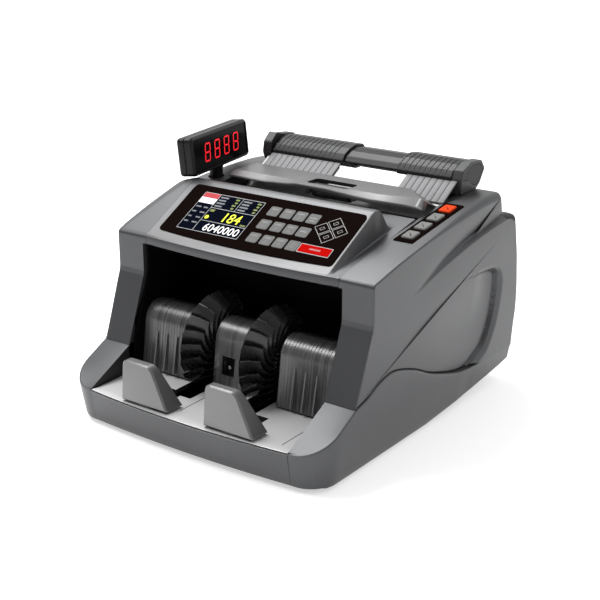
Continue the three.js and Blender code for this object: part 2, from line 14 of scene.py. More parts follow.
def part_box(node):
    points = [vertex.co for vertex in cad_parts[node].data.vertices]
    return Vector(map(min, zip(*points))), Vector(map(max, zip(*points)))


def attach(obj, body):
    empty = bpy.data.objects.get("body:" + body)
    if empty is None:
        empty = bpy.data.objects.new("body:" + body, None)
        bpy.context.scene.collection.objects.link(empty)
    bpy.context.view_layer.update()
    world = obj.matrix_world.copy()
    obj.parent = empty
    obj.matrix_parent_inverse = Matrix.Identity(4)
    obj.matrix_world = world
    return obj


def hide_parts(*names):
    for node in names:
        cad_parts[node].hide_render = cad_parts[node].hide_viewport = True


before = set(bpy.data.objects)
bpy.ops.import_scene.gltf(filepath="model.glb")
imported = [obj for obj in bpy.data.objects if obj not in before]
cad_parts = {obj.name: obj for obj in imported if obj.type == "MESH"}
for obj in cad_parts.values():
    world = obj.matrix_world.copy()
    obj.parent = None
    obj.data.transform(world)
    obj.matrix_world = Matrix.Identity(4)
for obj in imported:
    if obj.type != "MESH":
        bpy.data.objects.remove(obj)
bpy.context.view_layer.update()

# ---- driving dimensions: first those read from the frame, then those of the outlines --------------
MM = 0.001
BOW = 5.0                                                # forward bow of the console's front edge
FRONT_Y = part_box("console_housing")[0].y + BOW * MM      # the upper front face
BASE_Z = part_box("base_housing")[0].z                     # bottom edge of the base
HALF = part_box("upper_cover")[1].x / MM
BASE_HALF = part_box("base_housing")[1].x / MM
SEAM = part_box("console_housing")[1].x / MM + 0.25        # seam beside the console
BAY_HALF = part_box("bay_liner")[1].x / MM + 0.35
GUIDE_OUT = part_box("guide_right")[1].x / MM
GUIDE_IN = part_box("guide_right")[0].x / MM
WHEELS = ("vane_wheel_left", "vane_wheel_right")
WHEEL_X = [(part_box(name)[0].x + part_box(name)[1].x) / 2 / MM for name in WHEELS]
LIP_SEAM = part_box("stacker_tray")[1].x / MM + 0.35


def local(node):
    """Lowest and highest corners of a CAD node in the machine's own millimetres."""
    low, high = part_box(node)
    shift = Vector((0, FRONT_Y, BASE_Z))
    return (low - shift) / MM, (high - shift) / MM


WHEEL_LOW, WHEEL_HIGH = local("vane_wheel_right")
WHEEL_WIDTH = WHEEL_HIGH.x - WHEEL_LOW.x
SHAFT_LOW, SHAFT_HIGH = local("stacker_shaft")
WHEEL_AXIS = ((SHAFT_LOW.y + SHAFT_HIGH.y) / 2, (SHAFT_LOW.z + SHAFT_HIGH.z) / 2)
WHEEL_R = 46.0
VANES = 22
FRONT_TOP = 147.4          # top edge of the front face
BAY_TOP = 139.9
COVER_FOOT = (-22.2, 53.8)
LIP_Y = -70.3
LIP_Z = 29.4
LIP_BOW = 5.7
CORNER_R = 27
REAR_R = 6.5
BACK_Y = 240               # back face of the base
CONSOLE_SLOPE = 0.55
PLANE_START = 5.0
TOP_SLOPE = 0.198
RIDGE_Y = (64, 75)
LCD_Y = (13.8, 54.0)
CONSOLE_RIGHT = 88.5
FINE = 2     # finer side walls in the real renders


# ---- outlines -------------------------------------------------------------------------------------
def smooth(points, steps):
    """Catmull-Rom run through the points."""
    pts = [np.array(p, float) for p in points]
    out = []
    for i in range(steps + 1):
        t = (len(pts) - 1) * i / steps
        k = min(int(t), len(pts) - 2)
        w = t - k
        p0, p1 = pts[max(k - 1, 0)], pts[k]
        p2, p3 = pts[k + 1], pts[min(k + 2, len(pts) - 1)]
        v0, v1 = (p2 - p0) / 2, (p3 - p1) / 2
        out.append((2 * p1 - 2 * p2 + v0 + v1) * w ** 3 + (3 * p2 - 3 * p1 - 2 * v0 - v1) * w * w
                   + v0 * w + p1)
    return np.array(out)


def arc(cx, cy, r, start, end, steps):
    """Points on a circle, from start to end in degrees."""
    angles = np.radians(np.linspace(start, end, steps + 1))
    return np.stack([cx + r * np.cos(angles), cy + r * np.sin(angles)], 1)


def resample(points, count):
    """The same run with count equal steps."""
    pts = np.array(points, float)
    length = np.concatenate([[0], np.cumsum(np.linalg.norm(np.diff(pts, axis=0), axis=1))])
    at = np.linspace(0, length[-1], count + 1)
    return np.stack([np.interp(at, length, pts[:, k]) for k in range(pts.shape[1])], 1)


def fillet(corners, steps=5):
    """Closed outline from corners (a, b) or (a, b, radius), with the radii rounded."""
    out = []
    for i, corner in enumerate(corners):
        p = np.array(corner[:2], float)
        r = corner[2] if len(corner) > 2 else 0
        before = np.array(corners[i - 1][:2], float) - p
        after = np.array(corners[(i + 1) % len(corners)][:2], float) - p
        if r == 0:
            out.append(p)
            continue
        u, v = before / np.linalg.norm(before), after / np.linalg.norm(after)
        half = math.acos(max(-1, min(1, float(u @ v)))) / 2
        cut = min(r / math.tan(half), 0.49 * min(np.linalg.norm(before), np.linalg.norm(after)))
        for k in range(steps + 1):
            t = k / steps
            out.append((1 - t) ** 2 * (p + u * cut) + 2 * t * (1 - t) * p + t * t * (p + v * cut))
    return np.array(out)


def inwards(points):
    """Unit normals that point into a closed outline, one for each point."""
    pts = np.array(points, float)
    edge = np.roll(pts, -1, 0) - pts
    edge /= np.maximum(np.linalg.norm(edge, axis=1, keepdims=True), 1e-9)
    n = np.stack([-edge[:, 1], edge[:, 0]], 1)
    n = n + np.roll(n, 1, 0)
    n /= np.maximum(np.linalg.norm(n, axis=1, keepdims=True), 1e-9)
    area = np.sum(pts[:, 0] * np.roll(pts[:, 1], -1) - np.roll(pts[:, 0], -1) * pts[:, 1])
    return n if area > 0 else -n


def rounded_rect(a0, a1, b0, b1, r, steps=5):
    return fillet([(a0, b0, r), (a1, b0, r), (a1, b1, r), (a0, b1, r)], steps)


def smoothstep(low, high, v):
    t = np.clip((np.asarray(v, float) - low) / (high - low), 0, 1)
    return t * t * (3 - 2 * t)


# ---- meshes ---------------------------------------------------------------------------------------
def place(points):
    """Local millimetres to frame metres."""
    pts = np.array(points, float).reshape(-1, 3)
    return pts * MM + np.array([0, FRONT_Y, BASE_Z])


def new_object(name, points, faces, materials, face_material=None):
    mesh = bpy.data.meshes.new(name)
    mesh.from_pydata(place(points).tolist(), [], [tuple(int(i) for i in f) for f in faces])
    mesh.validate()
    for m in materials:
        mesh.materials.append(m)
    if face_material is not None:
        mesh.polygons.foreach_set("material_index", np.array(face_material, np.int32))
    obj = bpy.data.objects.new(name, mesh)
    bpy.context.scene.collection.objects.link(obj)
    return obj


def tidy_normals(obj, merge=0.00001):
    bm = bmesh.new()
    bm.from_mesh(obj.data)
    bmesh.ops.remove_doubles(bm, verts=bm.verts, dist=merge)
    bmesh.ops.recalc_face_normals(bm, faces=bm.faces)
    bm.to_mesh(obj.data)
    bm.free()


def shade(obj, angle=32):
    obj.data.shade_smooth()
    obj.data.set_sharp_from_angle(angle=math.radians(angle))


def bake(obj):
    """Applies every modifier."""
    depsgraph = bpy.context.evaluated_depsgraph_get()
    mesh = bpy.data.meshes.new_from_object(obj.evaluated_get(depsgraph))
    obj.modifiers.clear()
    obj.data = mesh
    return obj


def bevel(obj, width, segments=3, angle=32):
    m = obj.modifiers.new("bevel", "BEVEL")
    m.width = width * MM
    m.segments = segments
    m.limit_method = "ANGLE"
    m.angle_limit = math.radians(angle)
    m.use_clamp_overlap = True
    return bake(obj)


def boolean(obj, cutters):
    """Cuts each cutter out of the object and removes it."""
    for cutter in cutters:
        m = obj.modifiers.new("cut", "BOOLEAN")
        m.operation = "DIFFERENCE"
        m.solver = "EXACT"
        m.object = cutter
        bake(obj)
        bpy.data.objects.remove(cutter)
    return obj


def at_x(x, outline):
    """Outline points (y, z) as (x, y, z)."""
    return np.column_stack([np.full(len(outline), x), outline])


def at_z(z, outline):
    """Outline points (x, y) as (x, y, z)."""
    return np.column_stack([outline, np.full(len(outline), z)])


def rect(a0, a1, b0, b1):
    return [(a0, b0), (a1, b0), (a1, b1), (a0, b1)]


def loft(rings, name, materials=()):
    """Closed solid through rings that all have the same number of points, in local millimetres."""
    rings = [np.array(ring, float) for ring in rings]
    n = len(rings[0])
    faces = []
    for start in range(0, (len(rings) - 1) * n, n):
        for i in range(n):
            j = (i + 1) % n
            faces.append((start + i, start + j, start + n + j, start + n + i))
    faces.append(tuple(range(n)))
    faces.append(tuple((len(rings) - 1) * n + i for i in range(n))[::-1])
    obj = new_object(name, np.concatenate(rings), faces, materials)
    tidy_normals(obj)
    return obj


def along_x(name, outline, x0, x1, materials=()):
    return loft([at_x(x, outline) for x in (x0, x1)], name, materials)


def along_z(name, outline, z0, z1, materials=()):
    return loft([at_z(z, outline) for z in (z0, z1)], name, materials)


def block(name, x0, x1, y0, y1, z0, z1, materials=()):
    return along_x(name, rect(y0, y1, z0, z1), x0, x1, materials)


def join(objects, name):
    """One mesh object from several, keeping their materials."""
    materials = []
    for o in objects:
        for m in o.data.materials:
            if m not in materials:
                materials.append(m)
    bm = bmesh.new()
    for o in objects:
        start = len(bm.faces)
        bm.from_mesh(o.data)
        bm.faces.ensure_lookup_table()
        index = [materials.index(m) for m in o.data.materials] or [0]
        for f in bm.faces[start:]:
            f.material_index = index[f.material_index]
    mesh = bpy.data.meshes.new(name)
    bm.to_mesh(mesh)
    bm.free()
    for m in materials:
        mesh.materials.append(m)
    for o in objects:
        bpy.data.objects.remove(o)
    obj = bpy.data.objects.new(name, mesh)
    bpy.context.scene.collection.objects.link(obj)
    return obj


def ribbon(name, path, radius, materials):
    """A thin round cord of material along a run of (x, y, z) points, for seams and printed lines."""
    pts = np.array(path, float)
    sides = 6
    tangent = np.gradient(pts, axis=0)
    tangent /= np.maximum(np.linalg.norm(tangent, axis=1, keepdims=True), 1e-9)
    up = np.array([0.31, 0.17, 0.93])
    rings = []
    for p, t in zip(pts, tangent):
        a = np.cross(t, up)
        a /= np.linalg.norm(a)
        b = np.cross(t, a)
        angles = np.arange(sides) * 2 * math.pi / sides
        rings.append(p + radius * (np.outer(np.cos(angles), a) + np.outer(np.sin(angles), b)))
    return loft(rings, name, materials)


def finished(obj, body, replaced=(), angle=32):
    shade(obj, angle)
    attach(obj, body)
    if replaced:
        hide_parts(*replaced)
    return obj


# ---- materials ------------------------------------------------------------------------------------
def nodes_of(name):
    m = bpy.data.materials.new(name)
    m.use_nodes = True
    tree = m.node_tree
    return m, tree, tree.nodes["Principled BSDF"]


def noise_on(tree, vector, scale, detail):
    noise = tree.nodes.new("ShaderNodeTexNoise")
    noise.inputs["Scale"].default_value = scale
    noise.inputs["Detail"].default_value = detail
    tree.links.new(vector, noise.inputs["Vector"])
    return noise


def between(tree, shader, noise, colour, factors, limits):
    """Base colour that runs between two factors of one colour with the noise."""
    ramp = tree.nodes.new("ShaderNodeValToRGB")
    for element, factor, at in zip(ramp.color_ramp.elements, factors, limits):
        element.position = at
        element.color = (*[min(1, c * factor) for c in colour], 1)
    tree.links.new(noise.outputs["Fac"], ramp.inputs["Fac"])
    tree.links.new(ramp.outputs["Color"], shader.inputs["Base Color"])


def grain(tree, shader, scale, depth):
    """Fine moulded grain as a bump; its noise is also used for the roughness."""
    coords = tree.nodes.new("ShaderNodeTexCoord")
    noise = noise_on(tree, coords.outputs["Object"], scale, 3)
    bump = tree.nodes.new("ShaderNodeBump")
    bump.inputs["Strength"].default_value = depth
    bump.inputs["Distance"].default_value = 0.04 * MM
    tree.links.new(noise.outputs["Fac"], bump.inputs["Height"])
    tree.links.new(bump.outputs["Normal"], shader.inputs["Normal"])
    return coords, noise


def varied(tree, shader, coords, colour, spread, scale):
    """Base colour that drifts a little over the surface."""
    noise = noise_on(tree, coords.outputs["Object"], scale, 4)
    between(tree, shader, noise, colour, (1 - spread, 1 + spread), (0.3, 0.7))


def roughened(tree, shader, noise, rough, spread):
    scale = tree.nodes.new("ShaderNodeMapRange")
    scale.inputs["To Min"].default_value = rough - spread
    scale.inputs["To Max"].default_value = rough + spread
    tree.links.new(noise.outputs["Fac"], scale.inputs["Value"])
    tree.links.new(scale.outputs["Result"], shader.inputs["Roughness"])


def moulded(name, colour, rough=0.45, metallic=0.0, grain_scale=900, depth=0.25, spread=0.04, coat=0.0,
            shine=0.5):
    """Moulded or painted plastic."""
    m, tree, shader = nodes_of(name)
    coords, noise = grain(tree, shader, grain_scale, depth)
    varied(tree, shader, coords, colour, spread, 14)
    roughened(tree, shader, noise, rough, 0.05)
    shader.inputs["Metallic"].default_value = metallic
    shader.inputs["Coat Weight"].default_value = coat
    shader.inputs["Specular IOR Level"].default_value = shine
    shader.inputs["Coat Roughness"].default_value = 0.2
    return m


def streaked(name, colour, rough):
    """Satin plastic drawn into fine upright streaks."""
    m, tree, shader = nodes_of(name)
    coords = tree.nodes.new("ShaderNodeTexCoord")
    stretch = tree.nodes.new("ShaderNodeMapping")
    stretch.inputs["Scale"].default_value = (420, 6, 6)
    tree.links.new(coords.outputs["Object"], stretch.inputs["Vector"])
    noise = noise_on(tree, stretch.outputs["Vector"], 1, 4)
    between(tree, shader, noise, colour, (0.62, 1.35), (0.34, 0.68))
    roughened(tree, shader, noise, rough, 0.1)
    shader.inputs["Metallic"].default_value = 0.55
    return m


def glowing(name, colour, strength):
    """A lit display mark, a little uneven like a real segment."""
    m, tree, shader = nodes_of(name)
    coords = tree.nodes.new("ShaderNodeTexCoord")
    varied(tree, shader, coords, colour, 0.08, 300)
    shader.inputs["Emission Color"].default_value = (*colour, 1)
    shader.inputs["Emission Strength"].default_value = strength
    shader.inputs["Roughness"].default_value = 0.4
    shader.inputs["Specular IOR Level"].default_value = 0.15
    return m


def brushed(name, colour, rough=0.35):
    """Metal with fine lines along its length."""
    m, tree, shader = nodes_of(name)
    coords = tree.nodes.new("ShaderNodeTexCoord")
    stretch = tree.nodes.new("ShaderNodeMapping")
    stretch.inputs["Scale"].default_value = (20, 900, 900)
    noise = tree.nodes.new("ShaderNodeTexNoise")
    noise.inputs["Scale"].default_value = 2
    tree.links.new(coords.outputs["Object"], stretch.inputs["Vector"])
    tree.links.new(stretch.outputs["Vector"], noise.inputs["Vector"])
    roughened(tree, shader, noise, rough, 0.12)
    varied(tree, shader, coords, colour, 0.06, 30)
    shader.inputs["Metallic"].default_value = 1
    return m


BODY = moulded("body_satin_grey", (0.066, 0.067, 0.070), 0.40, 0.5, coat=0.05)
# Painted light: a much lighter copy of the body grey for the tray's up-facing faces, standing in for the
# light that falls on them.
TRAY_TOP_PAINTED_LIGHT = moulded("tray_top_painted_light", (0.50, 0.50, 0.505), 0.36, 0.1, coat=0.1)
SILVER = moulded("console_satin_silver", (0.105, 0.105, 0.108), 0.4, 0.25, coat=0.03)
BLACK = moulded("black_moulded", (0.006, 0.006, 0.007), 0.5)
# Black bay liner, darkened well below the black plastic as painted shade inside the bay.
BAY_BLACK_PAINTED_SHADE = moulded("bay_black_painted_shade", (0.0015, 0.0015, 0.0018), 0.7, shine=0.08)
BLACK_GLOSS = moulded("black_gloss", (0.003, 0.003, 0.0035), 0.2, depth=0.05, shine=0.05)
FILM = moulded("keypad_film", (0.006, 0.0035, 0.003), 0.6, depth=0.12, shine=0.0)
KEY_PRINT = moulded("key_print_grey", (0.16, 0.16, 0.158), 0.55, shine=0.0)
LEGEND = moulded("legend_dark", (0.10, 0.10, 0.10), 0.5)
RED_KEY = moulded("key_red", (0.42, 0.004, 0.003), 0.55, shine=0.0)
ORANGE_KEY = moulded("button_orange", (0.62, 0.045, 0.004), 0.55, shine=0.05)
KEY_EDGE = moulded("key_outline_pale", (0.42, 0.42, 0.42), 0.5, shine=0.0)
BUTTON_GREY = moulded("button_grey", (0.15, 0.15, 0.147), 0.6, grain_scale=500, depth=0.7, shine=0.2)
HOOD = streaked("stacker_hood_satin", (0.12, 0.12, 0.122), 0.32)
HOOD_EDGE = moulded("stacker_fin_grey", (0.20, 0.20, 0.205), 0.35, 0.2)
VANE = moulded("vane_rubber", (0.015, 0.015, 0.016), 0.28, grain_scale=300)
STOPPER = moulded("stopper_grey", (0.15, 0.15, 0.153), 0.34, 0.5, coat=0.15)
LID_SATIN = moulded("lid_satin_grey", (0.105, 0.105, 0.107), 0.38, 0.2, coat=0.03)
SLEEVE = moulded("sleeve_dark_grey", (0.014, 0.0144, 0.0152), 0.34, shine=0.16)
BAR = moulded("bar_dark_grey", (0.009, 0.0092, 0.0098), 0.3, shine=0.14)
CAP = moulded("cap_grey", (0.042, 0.043, 0.045), 0.42, shine=0.2)
PLATE = moulded("plate_pale", (0.56, 0.56, 0.555), 0.35, coat=0.1)
RIB_PLATE = moulded("plate_ribbed_grey", (0.20, 0.20, 0.205), 0.45, shine=0.15)
POD = moulded("display_shell", (0.006, 0.006, 0.0065), 0.36, shine=0.22)
LED_RED = glowing("led_red", (0.85, 0.012, 0.02), 0.75)
LCD_YELLOW = glowing("lcd_yellow", (0.75, 0.78, 0.01), 0.4)
LCD_WHITE = glowing("lcd_white", (0.8, 0.8, 0.8), 0.35)
LCD_GREY = glowing("lcd_grey", (0.13, 0.135, 0.15), 0.15)
LCD_RED = glowing("lcd_red", (0.36, 0.003, 0.012), 0.1)
LCD_LINE = glowing("lcd_line", (0.35, 0.36, 0.36), 0.2)
LCD_GREEN = glowing("lcd_green", (0.13, 0.16, 0.02), 0.15)
LEGEND_RED = moulded("legend_dark_red", (0.30, 0.01, 0.01), 0.5)
LCD_BLACK = moulded("lcd_black", (0.003, 0.004, 0.009), 0.5, depth=0.05, shine=0.0)
RUBBER = moulded("foot_rubber", (0.02, 0.02, 0.02), 0.8, grain_scale=400, depth=0.6)
STEEL = brushed("brushed_steel", (0.5, 0.51, 0.52))
BOARD = moulded("solder_mask_green", (0.01, 0.09, 0.03), 0.3)
SEAM_DARK = moulded("seam_shadow", (0.012, 0.012, 0.013), 0.7)

CARRIED = {
    STEEL: ("stacker_shaft", "feed_shaft", "side_frame_left", "side_frame_right", "tie_rod_front",
            "tie_rod_rear", "drive_motor", "power_supply"),
    # The bay liner's near-black is partly its black plastic and partly painted shade.
    BAY_BLACK_PAINTED_SHADE: ("bay_liner",),
    BLACK: ("transport_guide", "stacker_pulley", "feed_pulley", "motor_pulley",
            "power_inlet", "switch_frame", "power_switch"),
    RUBBER: ("feed_roller_left", "feed_roller_right", "feed_belt", "stacker_belt"),
    BOARD: ("main_board",),
    BODY: ("rear_panel",),
    PLATE: ("hopper_plate",),
}


def dress_frame_nodes():
    """The CAD pieces whose shape is already right only get their finish."""
    for material, names in CARRIED.items():
        for name in names:
            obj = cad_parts[name]
            obj.data.materials.clear()
            obj.data.materials.append(material)
            shade(obj, 30)


# ---- side outlines --------------------------------------------------------------------------------
GAP = 0.35
WAVE = np.concatenate([[COVER_FOOT], smooth([(-6, 58), (12, 65.5), (33, 68), (64, 59), (88, 48),
                                             (114, 39), (140, 32), (170, 29), (205, 28),
                                             (BACK_Y, 28)], 60)])
LEFT_TOP = smooth([(0, FRONT_TOP), (38, 160.3), (71, 168), (110, 174.4), (150, 177.8), (180, 178.6),
                   (203, 176.8), (208, 174.5), (211, 170)], 60)
RIGHT_TOP = smooth([(0, FRONT_TOP), (36, 155.4), (72, 161.8), (110, 167.6), (154, 173.9), (182, 177),
                    (203, 177), (208, 174.8), (211, 170.6)], 60)
REAR = np.concatenate([smooth([(BACK_Y, 28), (242, 44), (245, 62), (245, 86), (241.5, 112), (236, 132),
                               (231.5, 148), (229, 152.5), (225, 154.3)], 50), [(218, 156), (211, 170)]])
FRONT = np.array([COVER_FOOT, (-3, 105.5), (-0.8, 111), (0, 115.5), (0, 144.9), (0.7, 146.6), (2.0, 147.8)])
SWOOSH = smooth([(30, 112), (49, 122), (67, 126), (82, 131), (98, 135.5), (122, 141), (147, 146),
                 (173, 150), (200, 153), (219, 154.5)], 60)
LOOP = np.array([(140, 31), (158, 31), (172, 37), (184, 43), (195, 59), (201, 76), (204, 94), (203, 104),
                 (197, 108.5), (186, 111), (167, 114), (150, 115.5), (115, 118.4), (60, 121), (20, 123)])
LOOP_RUN = smooth(LOOP, 70)
PANEL = np.concatenate([WAVE[:48], LOOP_RUN, [(-40, 123)]])


def to_line(points, line):
    """Distance from each point to a polyline."""
    best = np.full(len(points), 1e9)
    for a, b in zip(line[:-1], line[1:]):
        d = b - a
        t = np.clip((points - a) @ d / max(d @ d, 1e-9), 0, 1)
        best = np.minimum(best, np.linalg.norm(points - a - t[:, None] * d, axis=1))
    return best


def inside(points, outline):
    """Which points lie inside a closed outline."""
    crossings = np.zeros(len(points), bool)
    for (x0, y0), (x1, y1) in zip(outline, np.roll(outline, -1, 0)):
        if y0 == y1:
            continue
        crosses = (y0 > points[:, 1]) != (y1 > points[:, 1])
        at = x0 + (points[:, 1] - y0) * (x1 - x0) / (y1 - y0)
        crossings ^= crosses & (points[:, 0] < at)
    return crossings


def side_depth(points):
    """How far the side wall lies inside the widest line, at (y, z) points."""
    pts = np.asarray(points, float)
    y, z = pts[:, 0], pts[:, 1]
    outside = np.where(inside(pts, PANEL), 0, to_line(pts, PANEL))
    upper_edge = smoothstep(96, 108, z)
    width = 8.0 * (1 - upper_edge) + upper_edge * 4
    fade = smoothstep(0, 58, 119 - z)
    deep = (0.7 + 4.6 * smoothstep(20, 175, y)) * (fade + (1 - fade) * smoothstep(158, 197, y))
    share = np.clip(outside / width, 0, 1)
    wall = 1 - 0.55 * smoothstep(0, 0.22, share) - 0.45 * smoothstep(0.15, 1, share)
    within = np.where(inside(pts, PANEL), to_line(pts, LOOP_RUN), 99)
    groove = 0.9 * smoothstep(120, 175, y) * (1 - smoothstep(0, 1.8, within)) * (outside == 0)
    recess = deep * wall + groove
    above = z - np.interp(y, SWOOSH[:, 0], SWOOSH[:, 1])
    hip = 3.8 * smoothstep(45, 205, y)
    cove = 2.2 * smoothstep(50, 130, y) * np.exp(-np.maximum(above, 0) / 4.5)
    inset_top = (hip * (1 - 0.35 * smoothstep(2, 22, above)) + cove) * smoothstep(-1.7, 1.7, above)
    proud = 1.8 * smoothstep(60, 205, y) * (1 - smoothstep(0, 60, -above))
    proud *= 1 - smoothstep(-1.7, 1.7, above)
    return recess + inset_top - proud


def left_shoulder(x, y, z):
    """Extra height of the left band, where the console's slope runs out to the side."""
    console = np.where(y < RIDGE_Y[0], FRONT_TOP + CONSOLE_SLOPE * y, 182.9)
    console = np.minimum(console, 183.2)
    fall = smoothstep(73, 93, y)
    high = np.maximum(console * (1 - fall) + z * fall, z)
    width = np.maximum(0.43 * np.minimum(y, 70), 4)
    t = np.clip((x + HALF) / width, 0, 1)
    return (high - z) * (1 - (1 - t) ** 1.7)


# ---- housing --------------------------------------------------------------------------------------
def cover_ring(top, n, m):
    """Closed outline of the cover in equal steps: n along the bottom and top, m up the ends."""
    shut = GAP * (1 - 0.9 * smoothstep(150, 168, WAVE[:, 0]))
    bottom = resample(np.column_stack([WAVE[:, 0], WAVE[:, 1] + shut]), n)
    rear = resample(np.concatenate([[bottom[-1]], REAR[1:]]), m)
    crest = resample(np.concatenate([[FRONT[-1]], top[2:]]), n)
    front = resample(np.concatenate([[bottom[0]], FRONT[1:]]), m)
    return bottom, rear, crest, front


def coons(bottom, rear, top, front):
    """Grid of points that fills the area between four edges."""
    n, m = len(bottom) - 1, len(rear) - 1
    u = np.linspace(0, 1, n + 1)[:, None, None]
    v = np.linspace(0, 1, m + 1)[None, :, None]
    ends = (1 - u) * front[None] + u * rear[None]
    sides = (1 - v) * bottom[:, None] + v * top[:, None]
    corners = ((1 - u) * (1 - v) * bottom[0] + u * (1 - v) * bottom[-1]
               + (1 - u) * v * top[0] + u * v * top[-1])
    return ends + sides - corners


def side_grid(ring, n, m, sign):
    """Fine grid over one side wall, whose rim is the ring."""
    bottom = ring[:n + 1]
    rear = ring[n:n + m + 1]
    top = ring[n + m:2 * n + m + 1][::-1]
    front = np.concatenate([ring[2 * n + m:], ring[:1]])[::-1]
    grid = coons(bottom, rear, top, front)
    flat = grid.reshape(-1, 2)
    x = sign * (HALF - side_depth(flat))
    points = np.column_stack([x, flat])
    faces = []
    for i in range(n):
        for j in range(m):
            a = i * (m + 1) + j
            faces.append((a, a + m + 1, a + m + 2, a + 1))
    return points, faces


def make_cover():
    """The upper cover: both side walls, both front pillars, the bands beside the lid and the back."""
    n, m = 110 * FINE, 64 * FINE
    outlines = {}
    for sign, top in ((-1, LEFT_TOP), (1, RIGHT_TOP)):
        bottom, rear, crest, front = cover_ring(top, n, m)
        outlines[sign] = np.concatenate([bottom[:-1], rear[:-1], crest[:0:-1], front[:0:-1]])
    count = 2 * (n + m)
    radius = np.full(count, 1.2)
    ring_y = outlines[1][:, 0]
    crest_part = (np.arange(count) >= n + m) & (np.arange(count) < 2 * n + m)
    rear_part = (np.arange(count) >= n) & (np.arange(count) < n + m)
    radius[crest_part] = 1.3 + 5.2 * smoothstep(60, 200, ring_y[crest_part])
    radius[rear_part] = REAR_R
    bottom_part = np.arange(count) <= n
    low_y = ring_y[bottom_part]
    radius[bottom_part] = (1.1 * (1 - smoothstep(150, 168, low_y)) + 0.1
                           + (REAR_R - 0.1) * smoothstep(226, BACK_Y, low_y))

    def ring_at(sign, share, theta):
        """share runs from the middle (0) to where the rounding starts (1); theta is the rounding."""
        outline = outlines[sign]
        half = HALF - side_depth(outline)
        lean = inwards(outline)
        lean[bottom_part & (outline[:, 0] > 224)] = (-1, 0)
        pts = outline + lean * (radius * (1 - math.cos(theta)))[:, None]
        x = (SEAM - 4) * (1 - share) + (half - radius) * share + radius * math.sin(theta)
        if sign < 0:
            z = pts[:, 1].copy()
            lift = left_shoulder(-x, pts[:, 0], np.interp(pts[:, 0], LEFT_TOP[:, 0], LEFT_TOP[:, 1]))
            pts[:, 1] = z + np.where(crest_part, lift, 0)
        return np.column_stack([sign * x, pts])

    def ring_list(sign):
        shares = np.linspace(0, 1, 15) if sign < 0 else (0, 1)
        found = [ring_at(sign, s, 0) for s in shares]
        return found + [ring_at(sign, 1, t) for t in np.radians((18, 36, 54, 72, 90))]

    rings = ring_list(-1)[::-1] + ring_list(1)
    cover = loft(rings, "upper_cover_shell", [BODY])
    inner = fillet([(-14, 60), (-14, 73), (5, 112), (5, 142), (70, 157), (150, 168), (200, 170), (206, 164),
                    (214, 150), (226, 146), (238, 110), (240, 60), (236, 34), (60, 74)], 2)
    cutters = [
        along_x("cavity", inner, -HALF + 7, HALF - 7),
        block("below", -HALF + 7, HALF - 7, -10, 236, 20, 75),
        block("top", -SEAM, SEAM, -40, 212, 100, 230),
        block("front", -BAY_HALF, BAY_HALF, -40, 60, 0, BAY_TOP),
    ]
    low, high = local("rear_panel")
    cutters.append(block("rear_hole", low.x - 0.4, high.x + 0.4, 225, 260, low.z - 0.4, high.z + 0.4))
    low, high = local("pod_post")
    centre = (low + high) / 2
    cutters.append(along_z("collar", arc(centre.x, centre.y, 7.5, 0, 342, 19), 150, 200))
    low, high = local("button_strip_bezel")
    cutters.append(strip_block("strip_hole", low.x - 0.2, high.x + 0.2, low.y - 0.2, high.y + 0.2, -9, 12))
    boolean(cover, cutters)
    cover = replace_caps(cover, rings, n, m)
    return finished(cover, "chassis", ("upper_cover",), 28)


def replace_caps(cover, rings, n, m):
    """Swaps the two flat side walls for fine shaped ones."""
    bm = bmesh.new()
    bm.from_mesh(cover.data)
    flat = [f for f in bm.faces
            if len(f.verts) > 60 and min(abs(v.co.x) for v in f.verts) > (HALF - 9) * MM]
    bmesh.ops.delete(bm, geom=flat, context="FACES_ONLY")
    bm.to_mesh(cover.data)
    bm.free()
    walls = []
    for ring, sign in ((rings[0][:, 1:], -1), (rings[-1][:, 1:], 1)):
        points, faces = side_grid(ring, n, m, sign)
        walls.append(new_object(f"wall{sign}", points, faces, [BODY]))
    whole = join([cover, *walls], "upper_cover_shell")
    tidy_normals(whole, 0.00002)
    return whole


def arm_height(y):
    """Top of the base along its side: the arm's slope, then the wave."""
    y = np.asarray(y, float)
    arm = LIP_Z + (COVER_FOOT[1] - LIP_Z) * (y - LIP_Y) / (COVER_FOOT[0] - LIP_Y)
    return np.where(y < COVER_FOOT[0], arm, np.interp(y, WAVE[:, 0], WAVE[:, 1]))


def bottom_height(y):
    """Bottom edge of the base, which rises towards the back."""
    return np.interp(y, (-70, 90, 150, 216, 232), (0, 0, 4, 12, 15))


def base_perimeter():
    """Plan of the right half of the base, from the front seam round to the middle of the back."""
    corner_y = LIP_Y + CORNER_R
    centre_x = BASE_HALF - CORNER_R
    run = [(LIP_SEAM, LIP_Y)]
    run += list(arc(centre_x, corner_y, CORNER_R, -90, 0, 14))
    run += [(BASE_HALF, y) for y in np.linspace(corner_y + 4, COVER_FOOT[0] - 0.5, 6)]
    side_y = np.linspace(COVER_FOOT[0], BACK_Y - REAR_R, 150)
    run += [(BASE_HALF + (HALF - BASE_HALF) * smoothstep(140, 165, y), y) for y in side_y]
    run += list(arc(HALF - REAR_R, BACK_Y - REAR_R, REAR_R, 10, 90, 8))
    run += [(x, BACK_Y) for x in np.linspace(HALF - REAR_R - 4, 0, 8)]
    return np.array(run)


